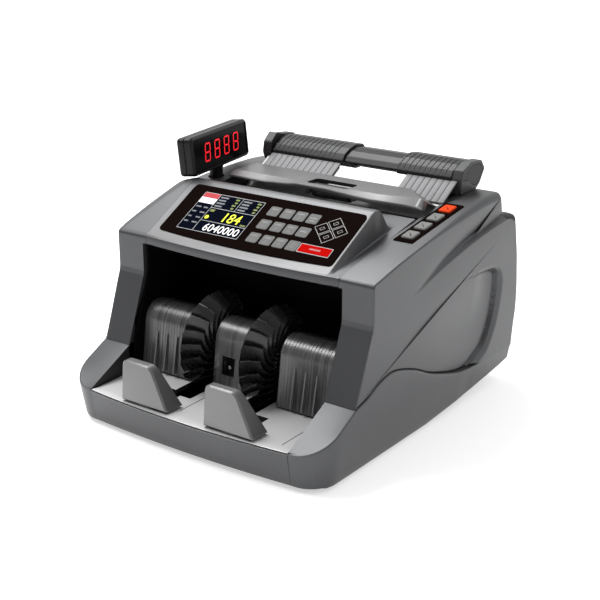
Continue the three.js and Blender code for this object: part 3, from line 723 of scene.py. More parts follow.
def base_half(sign):
    """Wall, rounded rim, arm top and inner wall of one half of the base."""
    plan = base_perimeter()
    edge = np.gradient(plan, axis=0)
    edge /= np.linalg.norm(edge, axis=1, keepdims=True)
    out = np.column_stack([edge[:, 1], -edge[:, 0]])
    top = arm_height(plan[:, 1])
    low = bottom_height(plan[:, 1])
    rim = 1.3 * (1 - smoothstep(150, 168, plan[:, 1])) + 0.05
    rows = []
    for share in (0, 0.04, 0.12, 0.3, 0.5, 0.7, 0.85, 0.95, 1):
        z = low + (top - rim - low) * share
        lean = np.maximum(0, 1 - z / LIP_Z) * np.where(out[:, 1] < -0.5, 4.7, 3.4)
        tuck = np.maximum(0, out[:, 1]) * 20 * np.clip((28 - z) / 14, 0, 1) ** 1.5
        under = 0.6 * (1 - smoothstep(0, 0.05, share))
        rows.append(np.column_stack([plan - out * (lean + tuck + under)[:, None], z]))
    for theta in np.radians((30, 60, 90)):
        z = top - rim + rim * math.sin(theta)
        rows.append(np.column_stack([plan - out * (rim * (1 - math.cos(theta)))[:, None], z]))
    inner = plan - out * 6
    arm = plan[:, 1] < COVER_FOOT[0] + 1
    inner[arm, 0] = BAY_HALF
    inner[arm, 1] = plan[arm, 1]
    rows.append(np.column_stack([inner, arm_height(inner[:, 1])]))
    behind = inner.copy()
    behind[arm, 1] = np.maximum(inner[arm, 1], LIP_Y + 6.5)
    rows.append(np.column_stack([behind, np.minimum(rows[-1][:, 2], low + 22)]))
    rows.append(np.column_stack([behind, low + 2.5]))
    count = len(plan)
    faces, finish = [], []
    for r in range(len(rows) - 1):
        for i in range(count - 1):
            a = r * count + i
            faces.append((a, a + 1, a + count + 1, a + count))
            finish.append(1 if r >= len(rows) - 3 else 0)
    floor_start = (len(rows) - 1) * count
    points = np.concatenate(rows)
    middle = points[:count].copy()
    middle[:, 0] = 0
    middle_top = points[floor_start:floor_start + count].copy()
    middle_top[:, 0] = 0
    extra = len(points)
    points = np.concatenate([points, middle, middle_top])
    for i in range(count - 1):
        faces.append((i, i + 1, extra + i + 1, extra + i))
        faces.append((floor_start + i, floor_start + i + 1, extra + count + i + 1, extra + count + i))
        finish += [0, 0]
    points[:, 0] *= sign
    return new_object(f"base_half{sign}", points, faces, [BODY, BLACK], finish)


def make_base():
    """The base with its two front arms, from two mirrored halves."""
    base = join([base_half(-1), base_half(1)], "base_shell")
    tidy_normals(base, 0.00002)
    return finished(base, "chassis", ("base_housing",), 30)


def bowed(half, y, depth, steps=24):
    """Front edge of a panel that bows forward, from left to right, as (x, y)."""
    x = np.linspace(-half, half, steps + 1)
    return np.column_stack([x, y - depth * (1 - (x / half) ** 2)])


def make_tray():
    """The stacker tray: bowed lip, grooved top edge, and floor with slots for wheels and stoppers."""
    half = LIP_SEAM - 0.15
    back = 62
    rows = []
    steps = 28
    top_edge = bowed(half, LIP_Y, LIP_BOW, steps)
    low_edge = bowed(half, LIP_Y + 4.7, 4.1, steps)
    for share in (0, 0.06, 0.2, 0.5, 0.8):
        edge = low_edge * (1 - share) + top_edge * share
        under = 0.6 * (1 - smoothstep(0, 0.05, share))
        rows.append(at_z(share * (LIP_Z - 2.2), edge + np.array([0, under])))
    groove = ((0, -1.9), (0.9, -1.7), (0.9, -1.1), (0.15, -0.9), (0.4, -0.25), (1.1, 0))
    for shift, z in groove:
        rows.append(at_z(LIP_Z + z, top_edge + np.array([0, shift])))
    for y, z in ((LIP_Y + 8, LIP_Z - 0.6), (back, LIP_Z + 1.5), (back, LIP_Z - 2),
                 (LIP_Y + 8, LIP_Z - 5), (LIP_Y + 7, 2), (LIP_Y + 6, 0)):
        rows.append(np.column_stack([top_edge[:, 0], np.full(len(top_edge), y), np.full(len(top_edge), z)]))
    count = steps + 1
    points = np.concatenate(rows)
    faces = []
    total = len(rows)
    for r in range(total):
        for i in range(steps):
            a, b = r * count + i, ((r + 1) % total) * count + i
            faces.append((a, a + 1, b + 1, b))
    faces.append(tuple(r * count for r in range(total)))
    faces.append(tuple(r * count + steps for r in range(total))[::-1])
    tray = new_object("tray_plate", points, faces, [BODY, TRAY_TOP_PAINTED_LIGHT])
    tidy_normals(tray)
    width = WHEEL_WIDTH / 2 + 2
    cutters = []
    for x in WHEEL_X:
        cutters.append(block("wheel_slot", x - width, x + width, -36, back + 3, 20, 40))
    for node in ("stopper_left", "stopper_right"):
        low, high = local(node)
        middle = (low.x + high.x) / 2
        cutters.append(block("stopper_slot", middle - 7.6, middle + 7.6, LIP_Y + 9, -29, 20, 40))
    boolean(tray, cutters)
    # Up-facing floor faces get the lighter copy: painted light on the tray floor.
    paint_by(tray, lambda c, n: 1 if n.z > 0.8 and c.z > BASE_Z + 20 * MM else 0)
    return finished(tray, "chassis", ("stacker_tray",), 30)


def paint_by(obj, choose):
    """Sets each face's material from its centre and normal."""
    obj.data.polygons.foreach_set(
        "material_index", [choose(p.center, p.normal) for p in obj.data.polygons])


# ---- console --------------------------------------------------------------------------------------
def console_z(x, y):
    """Top of the console's raised part."""
    x, y = np.broadcast_arrays(np.asarray(x, float), np.asarray(y, float))
    front = -BOW * (1 - np.clip(x / (SEAM - 0.25), -1, 1) ** 2)
    plane = FRONT_TOP + CONSOLE_SLOPE * y
    share = np.clip((y - front) / (PLANE_START - front), 0, 1)
    lip = FRONT_TOP + (plane_at(PLANE_START) - FRONT_TOP) * share
    return np.where(y < PLANE_START, lip, plane)


def plane_at(y):
    return FRONT_TOP + CONSOLE_SLOPE * y


def strip_plane(y):
    """Height of the console's flat right-hand strip, which also runs under the raised part."""
    return FRONT_TOP + TOP_SLOPE * np.asarray(y, float)


def console_profile():
    """(y, z) run over the console's back, from the keypad plane to the gap before the lid."""
    ridge = smooth([(62, plane_at(62)), (65.5, 183.0), (69, 183.6), (73, 183.1), (76, 181)], 12)
    return np.concatenate([ridge, smooth([(78, 178.3), (84, 169.5), (88, 165.9), (92, 165.6)], 10)])


def make_console():
    """Front-to-back runs, raised over most of the width and dropping to the flat strip on the right."""
    half = SEAM - 0.25
    tail = console_profile()
    plane_y = np.linspace(PLANE_START, 60, 12)
    run_y = np.concatenate([plane_y, tail[:, 0], [98, 104, 110.6]])
    raised = np.concatenate([plane_at(plane_y), tail[:, 1], strip_plane(np.array([98, 104, 110.6]))])
    raised = np.maximum(raised, strip_plane(run_y))
    stations = [(x, 1.0) for x in np.linspace(-half, CONSOLE_RIGHT - 1.6, 40)]
    stations += [(CONSOLE_RIGHT - 1.6 + 1.6 * math.sin(t), 1 - 0.03 * (1 - math.cos(t)))
                 for t in np.radians((30, 60, 90))]
    stations += [(CONSOLE_RIGHT + 2.6, 0.04), (CONSOLE_RIGHT + 3.4, 0.0), (SEAM - 2, 0.0), (half, 0.0)]
    rows = []
    for x, lift in stations:
        front = -BOW * (1 - min(1, (x / half)) ** 2)
        y = np.concatenate([front + np.array([0.05, 0.35, 1.0]), np.linspace(front + 1.4, 4.4, 5), run_y])
        nose = FRONT_TOP + np.array([-0.9, -0.25, 0.15])
        high = np.concatenate([nose, console_z(x, y[3:8]), raised])
        low = np.minimum(high, np.concatenate([high[:3], strip_plane(y[3:])]))
        low[3:8] = np.minimum(high[3:8], np.maximum(low[3:8], strip_plane(np.maximum(y[3:8], 0))))
        z = low + (high - low) * lift
        top = np.column_stack([np.full(len(y), x), y, z])
        under = [(x, 110.6, 163), (x, 20, 147.5), (x, 10, 143), (x, front + 4, BAY_TOP),
                 (x, front + 0.8, BAY_TOP), (x, front, BAY_TOP + 0.8)]
        rows.append(np.concatenate([top, np.array(under)]))
    console = loft(rows, "console_shell", [SILVER])
    console.data.materials.append(BODY)
    paint_by(console, lambda c, n: 1 if n.y < -0.75 or c.x > (CONSOLE_RIGHT + 0.1) * MM
             or c.y > FRONT_Y + 60 * MM else 0)
    return finished(console, "chassis", ("console_housing",), 26)


def on_keypad(u, y, lift=0.0):
    """A point on the keypad plane, lifted off it."""
    lean = math.atan(CONSOLE_SLOPE)
    return (u, y - lift * math.sin(lean), plane_at(y) + lift * math.cos(lean))


def keypad_slab(name, outline, low, high, materials, rim=0.0):
    """A flat piece of film: outline in (x, y) on the keypad plane, from low to high above it."""
    pts = np.array(outline, float)
    layers = [(low, 0.0), (high - rim, 0.0), (high, rim)] if rim else [(low, 0.0), (high, 0.0)]
    lean = inwards(pts)
    rings = [np.array([on_keypad(u, y, lift) for u, y in pts + lean * step]) for lift, step in layers]
    return loft(rings, name, materials)


def keypad_quad(corners, lift, thick, name, material):
    return keypad_slab(name, corners, lift, lift + thick, [material])


def make_keypad():
    """The printed film with its keys, in one plane."""
    low, high = local("keypad_overlay")
    front = [(x, 5.6 + 3 * (x / 90) ** 2) for x in np.linspace(low.x + 8, high.x - 7, 15)]
    film = fillet([(low.x, 8.7, 4.5), *front, (high.x, 8.4, 4.5), (high.x, 61, 5), (low.x, 61, 5)])
    sheet = keypad_slab("film", film, 0.05, 0.75, [FILM], 0.25)
    low, high = local("display_window")
    hole = rect(low.x - 0.2, high.x + 0.2, LCD_Y[0] - 0.2, LCD_Y[1] + 0.2)
    boolean(sheet, [keypad_slab("hole", hole, -4, 4, [FILM])])
    pieces = [sheet] + key_grid() + arrow_cluster()
    pad = join(pieces, "keypad_film_printed")
    return finished(pad, "chassis", ("keypad_overlay",), 30)


def printed_bar(x0, x1, y0, y1, lift, material, thick=0.12):
    return keypad_quad(rect(x0, x1, y0, y1), lift, thick, "bar", material)


def outline_bars(corners, width, lift, material):
    """Printed line round a closed run of (x, y) corners."""
    pts = np.array(corners, float)
    inner = pts + inwards(pts) * width * 1.3
    return [keypad_quad([pts[i - 1], pts[i], inner[i], inner[i - 1]], lift, 0.1, "line", material)
            for i in range(len(pts))]


def glyphs(text, x, y, height, lift, material, squeeze=1.0):
    """Plain figures lying on the keypad plane, centred at (x, y)."""
    curve = bpy.data.curves.new("figures", "FONT")
    curve.body = text
    curve.extrude = 0.01
    curve.resolution_u = 3
    holder = bpy.data.objects.new("figures", curve)
    bpy.context.scene.collection.objects.link(holder)
    depsgraph = bpy.context.evaluated_depsgraph_get()
    flat = bpy.data.meshes.new_from_object(holder.evaluated_get(depsgraph))
    bpy.data.objects.remove(holder)
    pts = np.array([v.co[:] for v in flat.vertices])
    faces = [tuple(f.vertices) for f in flat.polygons]
    low, high = pts.min(0), pts.max(0)
    scale = height / (high[1] - low[1])
    u = (pts[:, 0] - (low[0] + high[0]) / 2) * scale * squeeze + x
    v = (pts[:, 1] - (low[1] + high[1]) / 2) * scale + y
    layer = lift + np.where(pts[:, 2] > 0, 0.12, 0.0)
    placed = [on_keypad(a, b, c) for a, b, c in zip(u, v, layer)]
    return new_object("figures", placed, faces, [material])


KEY_X = (2.6, 16.2, 29.2, 42.2)
KEY_Y = (47.4, 33.3, 19.1)
KEY_SIZE = (11.2, 9.8)


def key_grid():
    """Twelve figure keys in a block, and the wide red key beside them."""
    pieces = []
    w, d = KEY_SIZE
    for row, y in enumerate(KEY_Y):
        for column, x in enumerate(KEY_X):
            cap = rounded_rect(x - w / 2, x + w / 2, y - d / 2, y + d / 2, 1.8, 4)
            pieces.append(keypad_slab("key", cap, 0.7, 1.15, [KEY_PRINT], 0.2))
            pieces += key_mark(row, column, x, y)
    wide = rounded_rect(48.2, 79.0, 14.6, 23.4, 0.8, 3)
    pieces.append(keypad_slab("wide_rim", wide, 0.7, 0.95, [KEY_EDGE]))
    inner = rounded_rect(48.8, 78.4, 15.2, 22.8, 0.5, 3)
    pieces.append(keypad_slab("wide_key", inner, 0.9, 1.2, [RED_KEY], 0.15))
    pieces.append(printed_bar(58.5, 69, 18.3, 19.9, 1.2, LEGEND_RED, 0.1))
    return pieces


def key_mark(row, column, x, y):
    """A small bar over a figure, or two bars on the keys at the end of each row."""
    if column < 3:
        figure = str(row * 3 + column + 1)
        return [printed_bar(x - 3.2, x + 3.2, y + 1.2, y + 2.6, 1.15, LEGEND),
                glyphs(figure, x, y - 2.2, 3.6, 1.15, LEGEND)]
    if row == 2:
        return [glyphs("0", x, y, 5, 1.15, LEGEND)]
    bars = [printed_bar(x - 3.4, x + 3.4, y - 0.4, y + 1.0, 1.15, LEGEND)]
    if row == 0:
        bars.append(printed_bar(x - 2.4, x + 2.4, y - 3.0, y - 1.8, 1.15, LEGEND))
    return bars


def arrow_cluster():
    """Four outlined keys set cornerwise in a square."""
    left, top = np.array([48.1, 40.5]), np.array([64.6, 53.4])
    right, bottom = np.array([80.2, 40.6]), np.array([64.7, 26.6])
    pieces = []

    def spot(u, v):
        return ((1 - u) * (1 - v) * bottom + u * (1 - v) * right + (1 - u) * v * left + u * v * top)

    for i in range(2):
        for j in range(2):
            u0, v0 = 0.525 * i, 0.525 * j
            u1, v1 = u0 + 0.475, v0 + 0.475
            cell = [spot(u0, v0), spot(u1, v0), spot(u1, v1), spot(u0, v1)]
            pieces += outline_bars(cell, 0.42, 0.72, KEY_EDGE)
            centre = spot((u0 + u1) / 2, (v0 + v1) / 2)
            step = (spot(u1, v0) - spot(u0, v0)) * 0.2
            side = (spot(u0, v1) - spot(u0, v0)) * 0.13
            mark = [centre - step - side, centre + step - side, centre + step + side, centre - step + side]
            pieces += outline_bars(mark, 0.3, 0.72, KEY_EDGE)
    return pieces


def make_lcd():
    """The colour display: a black panel with its cells, figures and small bars."""
    low, high = local("display_window")
    x0, x1 = low.x, high.x
    y0, y1 = LCD_Y
    panel = keypad_slab("panel", rect(x0, x1, y0, y1), -3, 0.95, [LCD_BLACK])
    pieces = [panel]
    lift = 0.95
    line = 0.38
    split, middle = x0 + 17, x0 + 41.8
    rows = (25.3, 39.2)
    frame_lines = [(x0, x1, y0, y0 + line), (x0, x1, y1 - line, y1), (x0, x0 + line, y0, y1),
                   (x1 - line, x1, y0, y1), (split, split + line, y0, y1),
                   (split, x1, rows[0], rows[0] + line), (split, x1, rows[1], rows[1] + line),
                   (middle, middle + line, rows[1], y1)]
    pieces += [printed_bar(*edges, lift, LCD_LINE) for edges in frame_lines]
    pieces.append(printed_bar(x0 + 0.5, split - 0.1, 48.4, 53.6, lift, LCD_RED))
    pieces.append(printed_bar(x0 + 0.5, split - 0.1, 42.6, 48.4, lift, LCD_WHITE))
    for k in range(4):
        y = 37.6 - 5.4 * k
        pieces.append(printed_bar(x0 + 1.8, x0 + (7.5, 6.2, 5.4, 6.0)[k], y, y + 1.3, lift, LCD_GREY))
        pieces.append(printed_bar(x0 + 10.2, x0 + (14.5, 15.4, 14.8, 15.6)[k], y, y + 1.3, lift, LCD_GREY))
    for left, right in ((split + 2, middle - 2), (middle + 2, x1 - 2)):
        for k in range(4):
            y = 50.4 - 3.1 * k
            pieces.append(printed_bar(left, left + 8.5 - 0.8 * (k % 2), y, y + 1.5, lift, LCD_GREY))
            pieces.append(printed_bar(right - 4.4 + (k % 2), right - 0.6, y, y + 1.6, lift, LCD_GREEN))
    pieces.append(glyphs("184", -29.5, 32.1, 9.6, lift, LCD_YELLOW, 0.98))
    pieces.append(printed_bar(split + 2, split + 6.4, 35.4, 37.8, lift, LCD_GREEN))
    dot = arc(split + 3.6, 29.4, 1.9, 0, 330, 11)
    pieces.append(keypad_slab("dot", dot, lift, lift + 0.12, [LCD_YELLOW]))
    pieces.append(printed_bar(x1 - 7.2, x1 - 2.0, 26.8, 28.2, lift, LCD_GREEN))
    pieces.append(glyphs("6040000", -32.0, 19.6, 7.6, lift, LCD_WHITE, 0.98))
    lcd = join(pieces, "lcd_panel")
    return finished(lcd, "chassis", ("display_window",), 30)


# ---- button strip ---------------------------------------------------------------------------------
STRIP_LOW, STRIP_HIGH = local("button_strip_bezel")
STRIP_RISE = (STRIP_HIGH.z - 0.8 - STRIP_LOW.z - 3) / (STRIP_HIGH.y - STRIP_LOW.y)


def strip_z(y):
    return STRIP_LOW.z + 3 + STRIP_RISE * (np.asarray(y, float) - STRIP_LOW.y)


def strip_layers(name, outline, layers, materials):
    """Rings of an (x, y) outline stacked above the strip's slope: (height, inward step) pairs."""
    pts = np.array(outline, float)
    lean = inwards(pts)
    rings = []
    for height, step in layers:
        moved = pts + lean * step
        rings.append(np.column_stack([moved, strip_z(moved[:, 1]) + height]))
    return loft(rings, name, materials)


def strip_block(name, x0, x1, y0, y1, low, high):
    return strip_layers(name, rect(x0, x1, y0, y1), [(low, 0), (high, 0)], [])


def make_button_strip():
    """The black strip on the right band, with a hole for each of its four buttons."""
    x0, x1, y0, y1 = STRIP_LOW.x, STRIP_HIGH.x, STRIP_LOW.y, STRIP_HIGH.y
    edge = rounded_rect(x0, x1, y0, y1, 1.6, 4)
    bezel = strip_layers("bezel", edge, [(-3, 0), (0.3, 0), (0.8, 0.5)], [FILM])
    cutters = []
    for k in range(1, 5):
        low, high = local(f"side_button_{k}")
        hole = rounded_rect(low.x - 0.5, high.x + 0.5, low.y - 0.5, high.y + 0.5, 1.3, 4)
        cutters.append(strip_layers("hole", hole, [(-9, 0), (9, 0)], []))
    boolean(bezel, cutters)
    finished(bezel, "chassis", ("button_strip_bezel",), 30)
    for k in range(1, 5):
        make_side_button(k)


def make_side_button(k):
    """A grained cap with a rounded rim and a slightly dished top."""
    low, high = local(f"side_button_{k}")
    cap = rounded_rect(low.x, high.x, low.y, high.y, 1.6, 5)
    layers = [(-4.6, 0.3), (0.9, 0), (1.6, 0.2), (2.0, 0.7), (2.1, 1.4), (2.0, 2.6)]
    button = strip_layers(f"side_button_cap_{k}", cap, layers, [ORANGE_KEY if k == 4 else BUTTON_GREY])
    finished(button, f"button_{k}", (f"side_button_{k}",), 40)


# ---- lid ------------------------------------------------------------------------------------------
LID_LOW, LID_HIGH = local("lid")
LID_X = (-98, -60, -32, -23, 8, 37, 66, 84, 98)


def lid_section(x):
    """Closed (y, z) outline across the lid at x; its right-hand end falls away past a slanting crease."""
    front = LID_LOW.y - 1.0 + 9.5 * smoothstep(52, 99, x)
    edge = np.interp(x, LID_X, (179.3, 178.7, 180.7, 182.0, 181.9, 179.9, 178.6, 177.4, 175.6))
    under = np.interp(x, LID_X, (176.4, 176.3, 177.0, 178.6, 178.2, 175.6, 174.4, 173.8, 172.6))
    back = LID_HIGH.y
    plateau = LID_HIGH.z + 0.3
    crease = min(back - 1.2, LID_FACET[0][1] - (x - LID_FACET[0][0]) * LID_FACET_RUN)
    crease = max(crease, front + 4.6)

    def top(y):
        return plateau - 0.47 * max(0, y - crease)

    bevel_end = min(front + 9, crease - 0.3)
    edge = min(edge, plateau + 0.3)
    shelf = [(front + 1.4, under), (front + 0.3, under + 0.4), (front, (under + edge) / 2),
             (front + 0.1, edge - 0.9), (front + 0.6, edge - 0.2), (front + 1.6, edge),
             (bevel_end, top(bevel_end)), (crease, top(crease))]
    rest = [(y, top(y)) for y in np.linspace(crease, back - 1, 7)[1:]]
    end = top(back - 1)
    tail = [(back - 0.2, end - 0.5), (back, end - 1.3), (back, end - 2.7),
            (front + 9.5, min(top(front + 9.5), plateau - 3) - 0.4), (front + 5, under + 0.1)]
    return shelf + rest + tail


LID_FACET = ((72, 150), (97, 126))
LID_FACET_RUN = (LID_FACET[0][1] - LID_FACET[1][1]) / (LID_FACET[1][0] - LID_FACET[0][0])


def make_lid():
    """The gap cover: a thin lid with a raised lip in the middle and a falling right-hand end."""
    between_ends = np.linspace(LID_LOW.x + 0.6, LID_HIGH.x - 0.4, 90)
    stations = [LID_LOW.x, *between_ends, LID_HIGH.x]
    rings = []
    for x in stations:
        pts = np.array(lid_section(x))
        if x in (stations[0], stations[-1]):
            pts = pts + (pts.mean(0) - pts) * np.array([0.005, 0.12])
        rings.append(at_x(x, pts))
    lid = loft(rings, "lid_shell", [LID_SATIN, BLACK])
    slot = along_z("slot", rounded_rect(-18, 26, 119.5, 137.2, 4.5, 6), 160, 200, [LID_SATIN, BLACK])
    for face in slot.data.polygons:
        face.material_index = 1
    boolean(lid, [slot])
    tabs = [block("tab", x - 1.5, x + 1.5, 124, 136, 170.4, 178.6, [LID_SATIN]) for x in (-20, 28)]
    lid = join([lid, *tabs], "lid_shell")
    return finished(lid, "lid", ("lid",), 9)


def make_thumbwheel():
    """Knurled roller that sets the feed gap, with its axle ends."""
    low, high = local("gap_thumbwheel")
    cy, cz = (low.y + high.y) / 2, (low.z + high.z) / 2
    teeth = 28
    angles = np.arange(teeth * 4) * 2 * math.pi / (teeth * 4)
    ridge = np.array([0, 1, 1, 0])[np.arange(teeth * 4) % 4]
    outer = (high.z - low.z) / 2

    def ring(x, radius, depth):
        r = radius - depth * (1 - ridge)
        return at_x(x, np.column_stack([cy + r * np.cos(angles), cz + r * np.sin(angles)]))

    x0, x1 = low.x + 6.2, high.x - 6.2
    runs = [(low.x, 1.5, 0), (x0 - 0.4, 1.5, 0), (x0, outer - 1.6, 0.2), (x0 + 1.2, outer, 0.55),
            (x1 - 1.2, outer, 0.55), (x1, outer - 1.6, 0.2), (x1 + 0.4, 1.5, 0), (high.x, 1.5, 0)]
    wheel = loft([ring(*run) for run in runs], "thumbwheel_roller", [BLACK])
    return finished(wheel, "thumbwheel", ("gap_thumbwheel",), 35)


# ---- hopper ---------------------------------------------------------------------------------------
BAR_OUTLINE = [(173.5, 187.2), (173.8, 191), (178, 196.5), (186, 200.2), (196, 202.4), (208, 201),
               (215, 194), (209, 185), (203, 179.5), (196, 179.8), (186, 186)]
PLATE_RISE = 0.62
SLEEVE_WALL = 2.2          # from the sleeve's outside to the shaft
BAR_END = 105.8            # half length of the shaft
CAP_FACE = 96.35           # inner face of the end caps


def hopper_z(y):
    """Height of the hopper plate at y."""
    return 176.5 + PLATE_RISE * (y - 158)


def rounded_bar(shrink=0.0):
    """The bar's section with its corners rounded, moved inwards by shrink."""
    corners = [(y, z, 2.5) for y, z in BAR_OUTLINE]
    pts = fillet(corners, 3)
    return pts + inwards(pts) * shrink


def ribbed_tube(name, x0, x1, outline, bore, pitch, rib, depth, materials):
    """A sleeve along x with fine grooves across its upper side; bore is the inner outline. The upper groove
    faces take the second material, as painted shade in the grooves.
    """
    pts = np.array(outline)
    lean = inwards(pts)
    upper = smoothstep(189, 194, pts[:, 1])
    stations = [(x0, 0.5), (x0 + 0.6, 0.0)]
    count = int((x1 - x0 - 3) / pitch)
    for k in range(count):
        start = x0 + 1.6 + k * pitch
        stations += [(start, 0.0), (start + 0.15, depth), (start + rib, depth), (start + rib + 0.15, 0.0)]
    stations += [(x1 - 0.6, 0.0), (x1, 0.5)]
    rings = []
    for x, cut in stations:
        amount = cut * (upper if 0.6 < x - x0 and x < x1 - 0.6 else 1)
        moved = pts + lean * np.reshape(amount * np.ones(len(pts)), (-1, 1))
        rings.append(at_x(x, moved))
    n = len(pts)
    inner = [at_x(x, bore) for x in (x0, x1)]
    points = np.concatenate(rings + inner)
    faces, finish = [], []
    for k in range(len(rings) - 1):
        sunk = stations[k][1] > 0 and stations[k + 1][1] > 0 and 0.6 < stations[k][0] - x0
        for i in range(n):
            j = (i + 1) % n
            faces.append((k * n + i, k * n + j, (k + 1) * n + j, (k + 1) * n + i))
            # Upper groove faces get the second material: painted shade in the grooves.
            finish.append(1 if sunk and upper[i] > 0.5 else 0)
    first, last = (len(rings)) * n, (len(rings) + 1) * n
    for i in range(n):
        j = (i + 1) % n
        faces.append((first + i, last + i, last + j, first + j))
        faces.append((i, first + i, first + j, j))
        faces.append(((len(rings) - 1) * n + i, (len(rings) - 1) * n + j, last + j, last + i))
        finish += [0, 0, 0]
    obj = new_object(name, points, faces, materials, finish)
    tidy_normals(obj)
    return obj


def ribbed_plate(name, x0, x1, pitch):
    """Sliding plate of a hopper guide, ribbed from front to back; the black slab under the ribs is painted
    shade in the gaps between them.
    """
    low_y, high_y = 151.5, 175.0

    def slab(a, b, low, high, materials):
        outline = [(low_y, hopper_z(low_y) + low), (high_y, hopper_z(high_y) + low),
                   (high_y, hopper_z(high_y) + high), (low_y, hopper_z(low_y) + high)]
        return along_x("slab", outline, a, b, materials)

    # Black slab under the ribs: painted shade showing in the gaps between the ribs.
    pieces = [slab(x0, x1, 0.35, 1.3, [BLACK])]
    count = int(round((x1 - x0) / pitch))
    step = (x1 - x0) / count
    for k in range(count):
        a, b = x0 + k * step + 0.2, x0 + (k + 1) * step - 0.2
        rib = slab(a, b, 1.2, 2.2, [RIB_PLATE])
        pieces.append(bevel(rib, 0.2, 2))
    return pieces


def make_hopper():
    """The cross bar, the two sliding guides on it, and their end caps."""
    core = rounded_bar(SLEEVE_WALL - GAP)
    bar = along_x("hopper_bar_shaft", around_bar(rounded_bar(SLEEVE_WALL)), -BAR_END, BAR_END, [BAR])
    finished(bar, "chassis", ("hopper_bar_core",), 30)
    for side, x0, x1 in (("left", -96, -16), ("right", 41, 96)):
        # BLACK as the second material paints shade into the sleeve's grooves.
        tube = ribbed_tube(f"sleeve_{side}", x0, x1, rounded_bar(), core, 5.2, 0.8, 0.5, [SLEEVE, BLACK])
        ribs = (x0, x1 - 2) if side == "left" else (52, x1 + 6)
        pieces = [tube, *ribbed_plate("plate", *ribs, 6.5)]
        guide = join(pieces, f"hopper_guide_{side}_ribbed")
        finished(guide, f"{side}_hopper_guide", (f"hopper_guide_{side}",), 30)
    left = [(176, 179.5, 3), (171.5, 188, 6), (173.5, 198.5, 6), (182, 206, 1.6), (191, 203.6, 6),
            (210, 201.6, 5), (216, 194, 3), (209, 184, 3), (203, 179, 2)]
    right = [(174.6, 177.2, 1.2), (174.2, 190, 3), (178, 197.8, 3), (192, 202.6, 5), (209.6, 201.8, 3),
             (216, 193.5, 2.5), (208, 182, 2.5), (201.6, 177.4, 2)]
    make_cheek("left", -BAR_END - 0.2, -CAP_FACE, left, BLACK)
    make_cheek("right", CAP_FACE, BAR_END + 0.2, right, CAP)


BAR_MIDDLE = np.array([194.0, 190.5])


def around_bar(outline, count=180):
    """The closed outline as points in equal turns round the bar's middle."""
    pts = np.asarray(outline, float)
    pts = resample(np.concatenate([pts, pts[:1]]), 1200)[:-1] - BAR_MIDDLE
    turn = np.arctan2(pts[:, 1], pts[:, 0])
    order = np.argsort(turn)
    at = np.linspace(-math.pi, math.pi, count + 1)[:-1]
    far = np.interp(at, turn[order], np.linalg.norm(pts, axis=1)[order], period=2 * math.pi)
    return BAR_MIDDLE + np.column_stack([np.cos(at) * far, np.sin(at) * far])


def make_cheek(side, x0, x1, corners, material):
    """End cap of a guide, with a bore that lets it slide along the bar."""
    outer = around_bar(fillet(corners, 5))
    bore = around_bar(rounded_bar(SLEEVE_WALL - GAP))
    cheek = ribbed_tube(f"hopper_cheek_{side}_cap", x0, x1, outer, bore, x1 - x0, 0.8, 0.5,
                        [material, material])
    finished(cheek, f"{side}_hopper_guide", (f"hopper_cheek_{side}",), 30)


# ---- customer display -----------------------------------------------------------------------------
POD_SIZE = (16.0, 103.0, 34.5)
POD_TURN = math.radians(10.5)
POD_LEAN = math.radians(6)
POD_LOW, POD_HIGH = local("pod_post")
POD_AXIS = ((POD_LOW.x + POD_HIGH.x) / 2, (POD_LOW.y + POD_HIGH.y) / 2, POD_HIGH.z + 1.0)


def pod_points(points):
    """From the display's own frame (x out of its face, y along it, z up) to the machine's."""
    turn = Matrix.Rotation(POD_TURN, 3, "Z") @ Matrix.Rotation(-POD_LEAN, 3, "Y")
    return np.array(points, float) @ np.array(turn).T + np.array(POD_AXIS)


def pod_layers(name, layers, half, height, r, materials, floor=0.0):
    """Rounded rectangles stacked out of the display: (x, inward step) pairs."""
    rings = []
    for x, step in layers:
        edge = rounded_rect(-half + step, half - step, floor + step, floor + height - step,
                            max(r - step, 0.5), 6)
        rings.append(pod_points(at_x(x, edge)))
    return loft(rings, name, materials)


def make_pod():
    """The external display: rear shell, front shell with a recess, lit window and post."""
    depth, width, height = POD_SIZE
    half, face = width / 2, depth / 2
    seam = face - 8
    rear = pod_layers("pod_rear", [(-face, 2.2), (-face + 0.8, 0.9), (-face + 1.8, 0.2), (-face + 3, 0),
                                   (seam - 0.8, 0), (seam - GAP, 0.4)], half, height, 4.5, [POD])
    finished(rear, "display", ("pod_rear_shell",), 30)
    layers = [(seam, 0.4), (seam + 0.4, 0), (face - 1.9, 0), (face - 0.1, 1.5), (face, 2.0)]
    front = pod_layers("pod_front", layers, half, height, 4.5, [POD])
    rim = 2.9
    recess = pod_layers("recess", [(face - 3.1, rim), (face + 4, rim)], half, height, 4, [])
    boolean(front, [recess])
    finished(front, "display", ("pod_front_shell",), 30)
    layers = [(face - 3.0, rim + 0.25), (face - 1.0, rim + 0.25), (face - 0.8, rim + 0.5)]
    window = pod_layers("window", layers, half, height, 4, [BLACK_GLOSS])
    digits = [segment_digit(-24.0 + 17.4 * k, height / 2, face - 0.8) for k in range(4)]
    pane = join([window, *digits], "pod_window_lit")
    finished(pane, "display", ("pod_window",), 30)
    make_post()


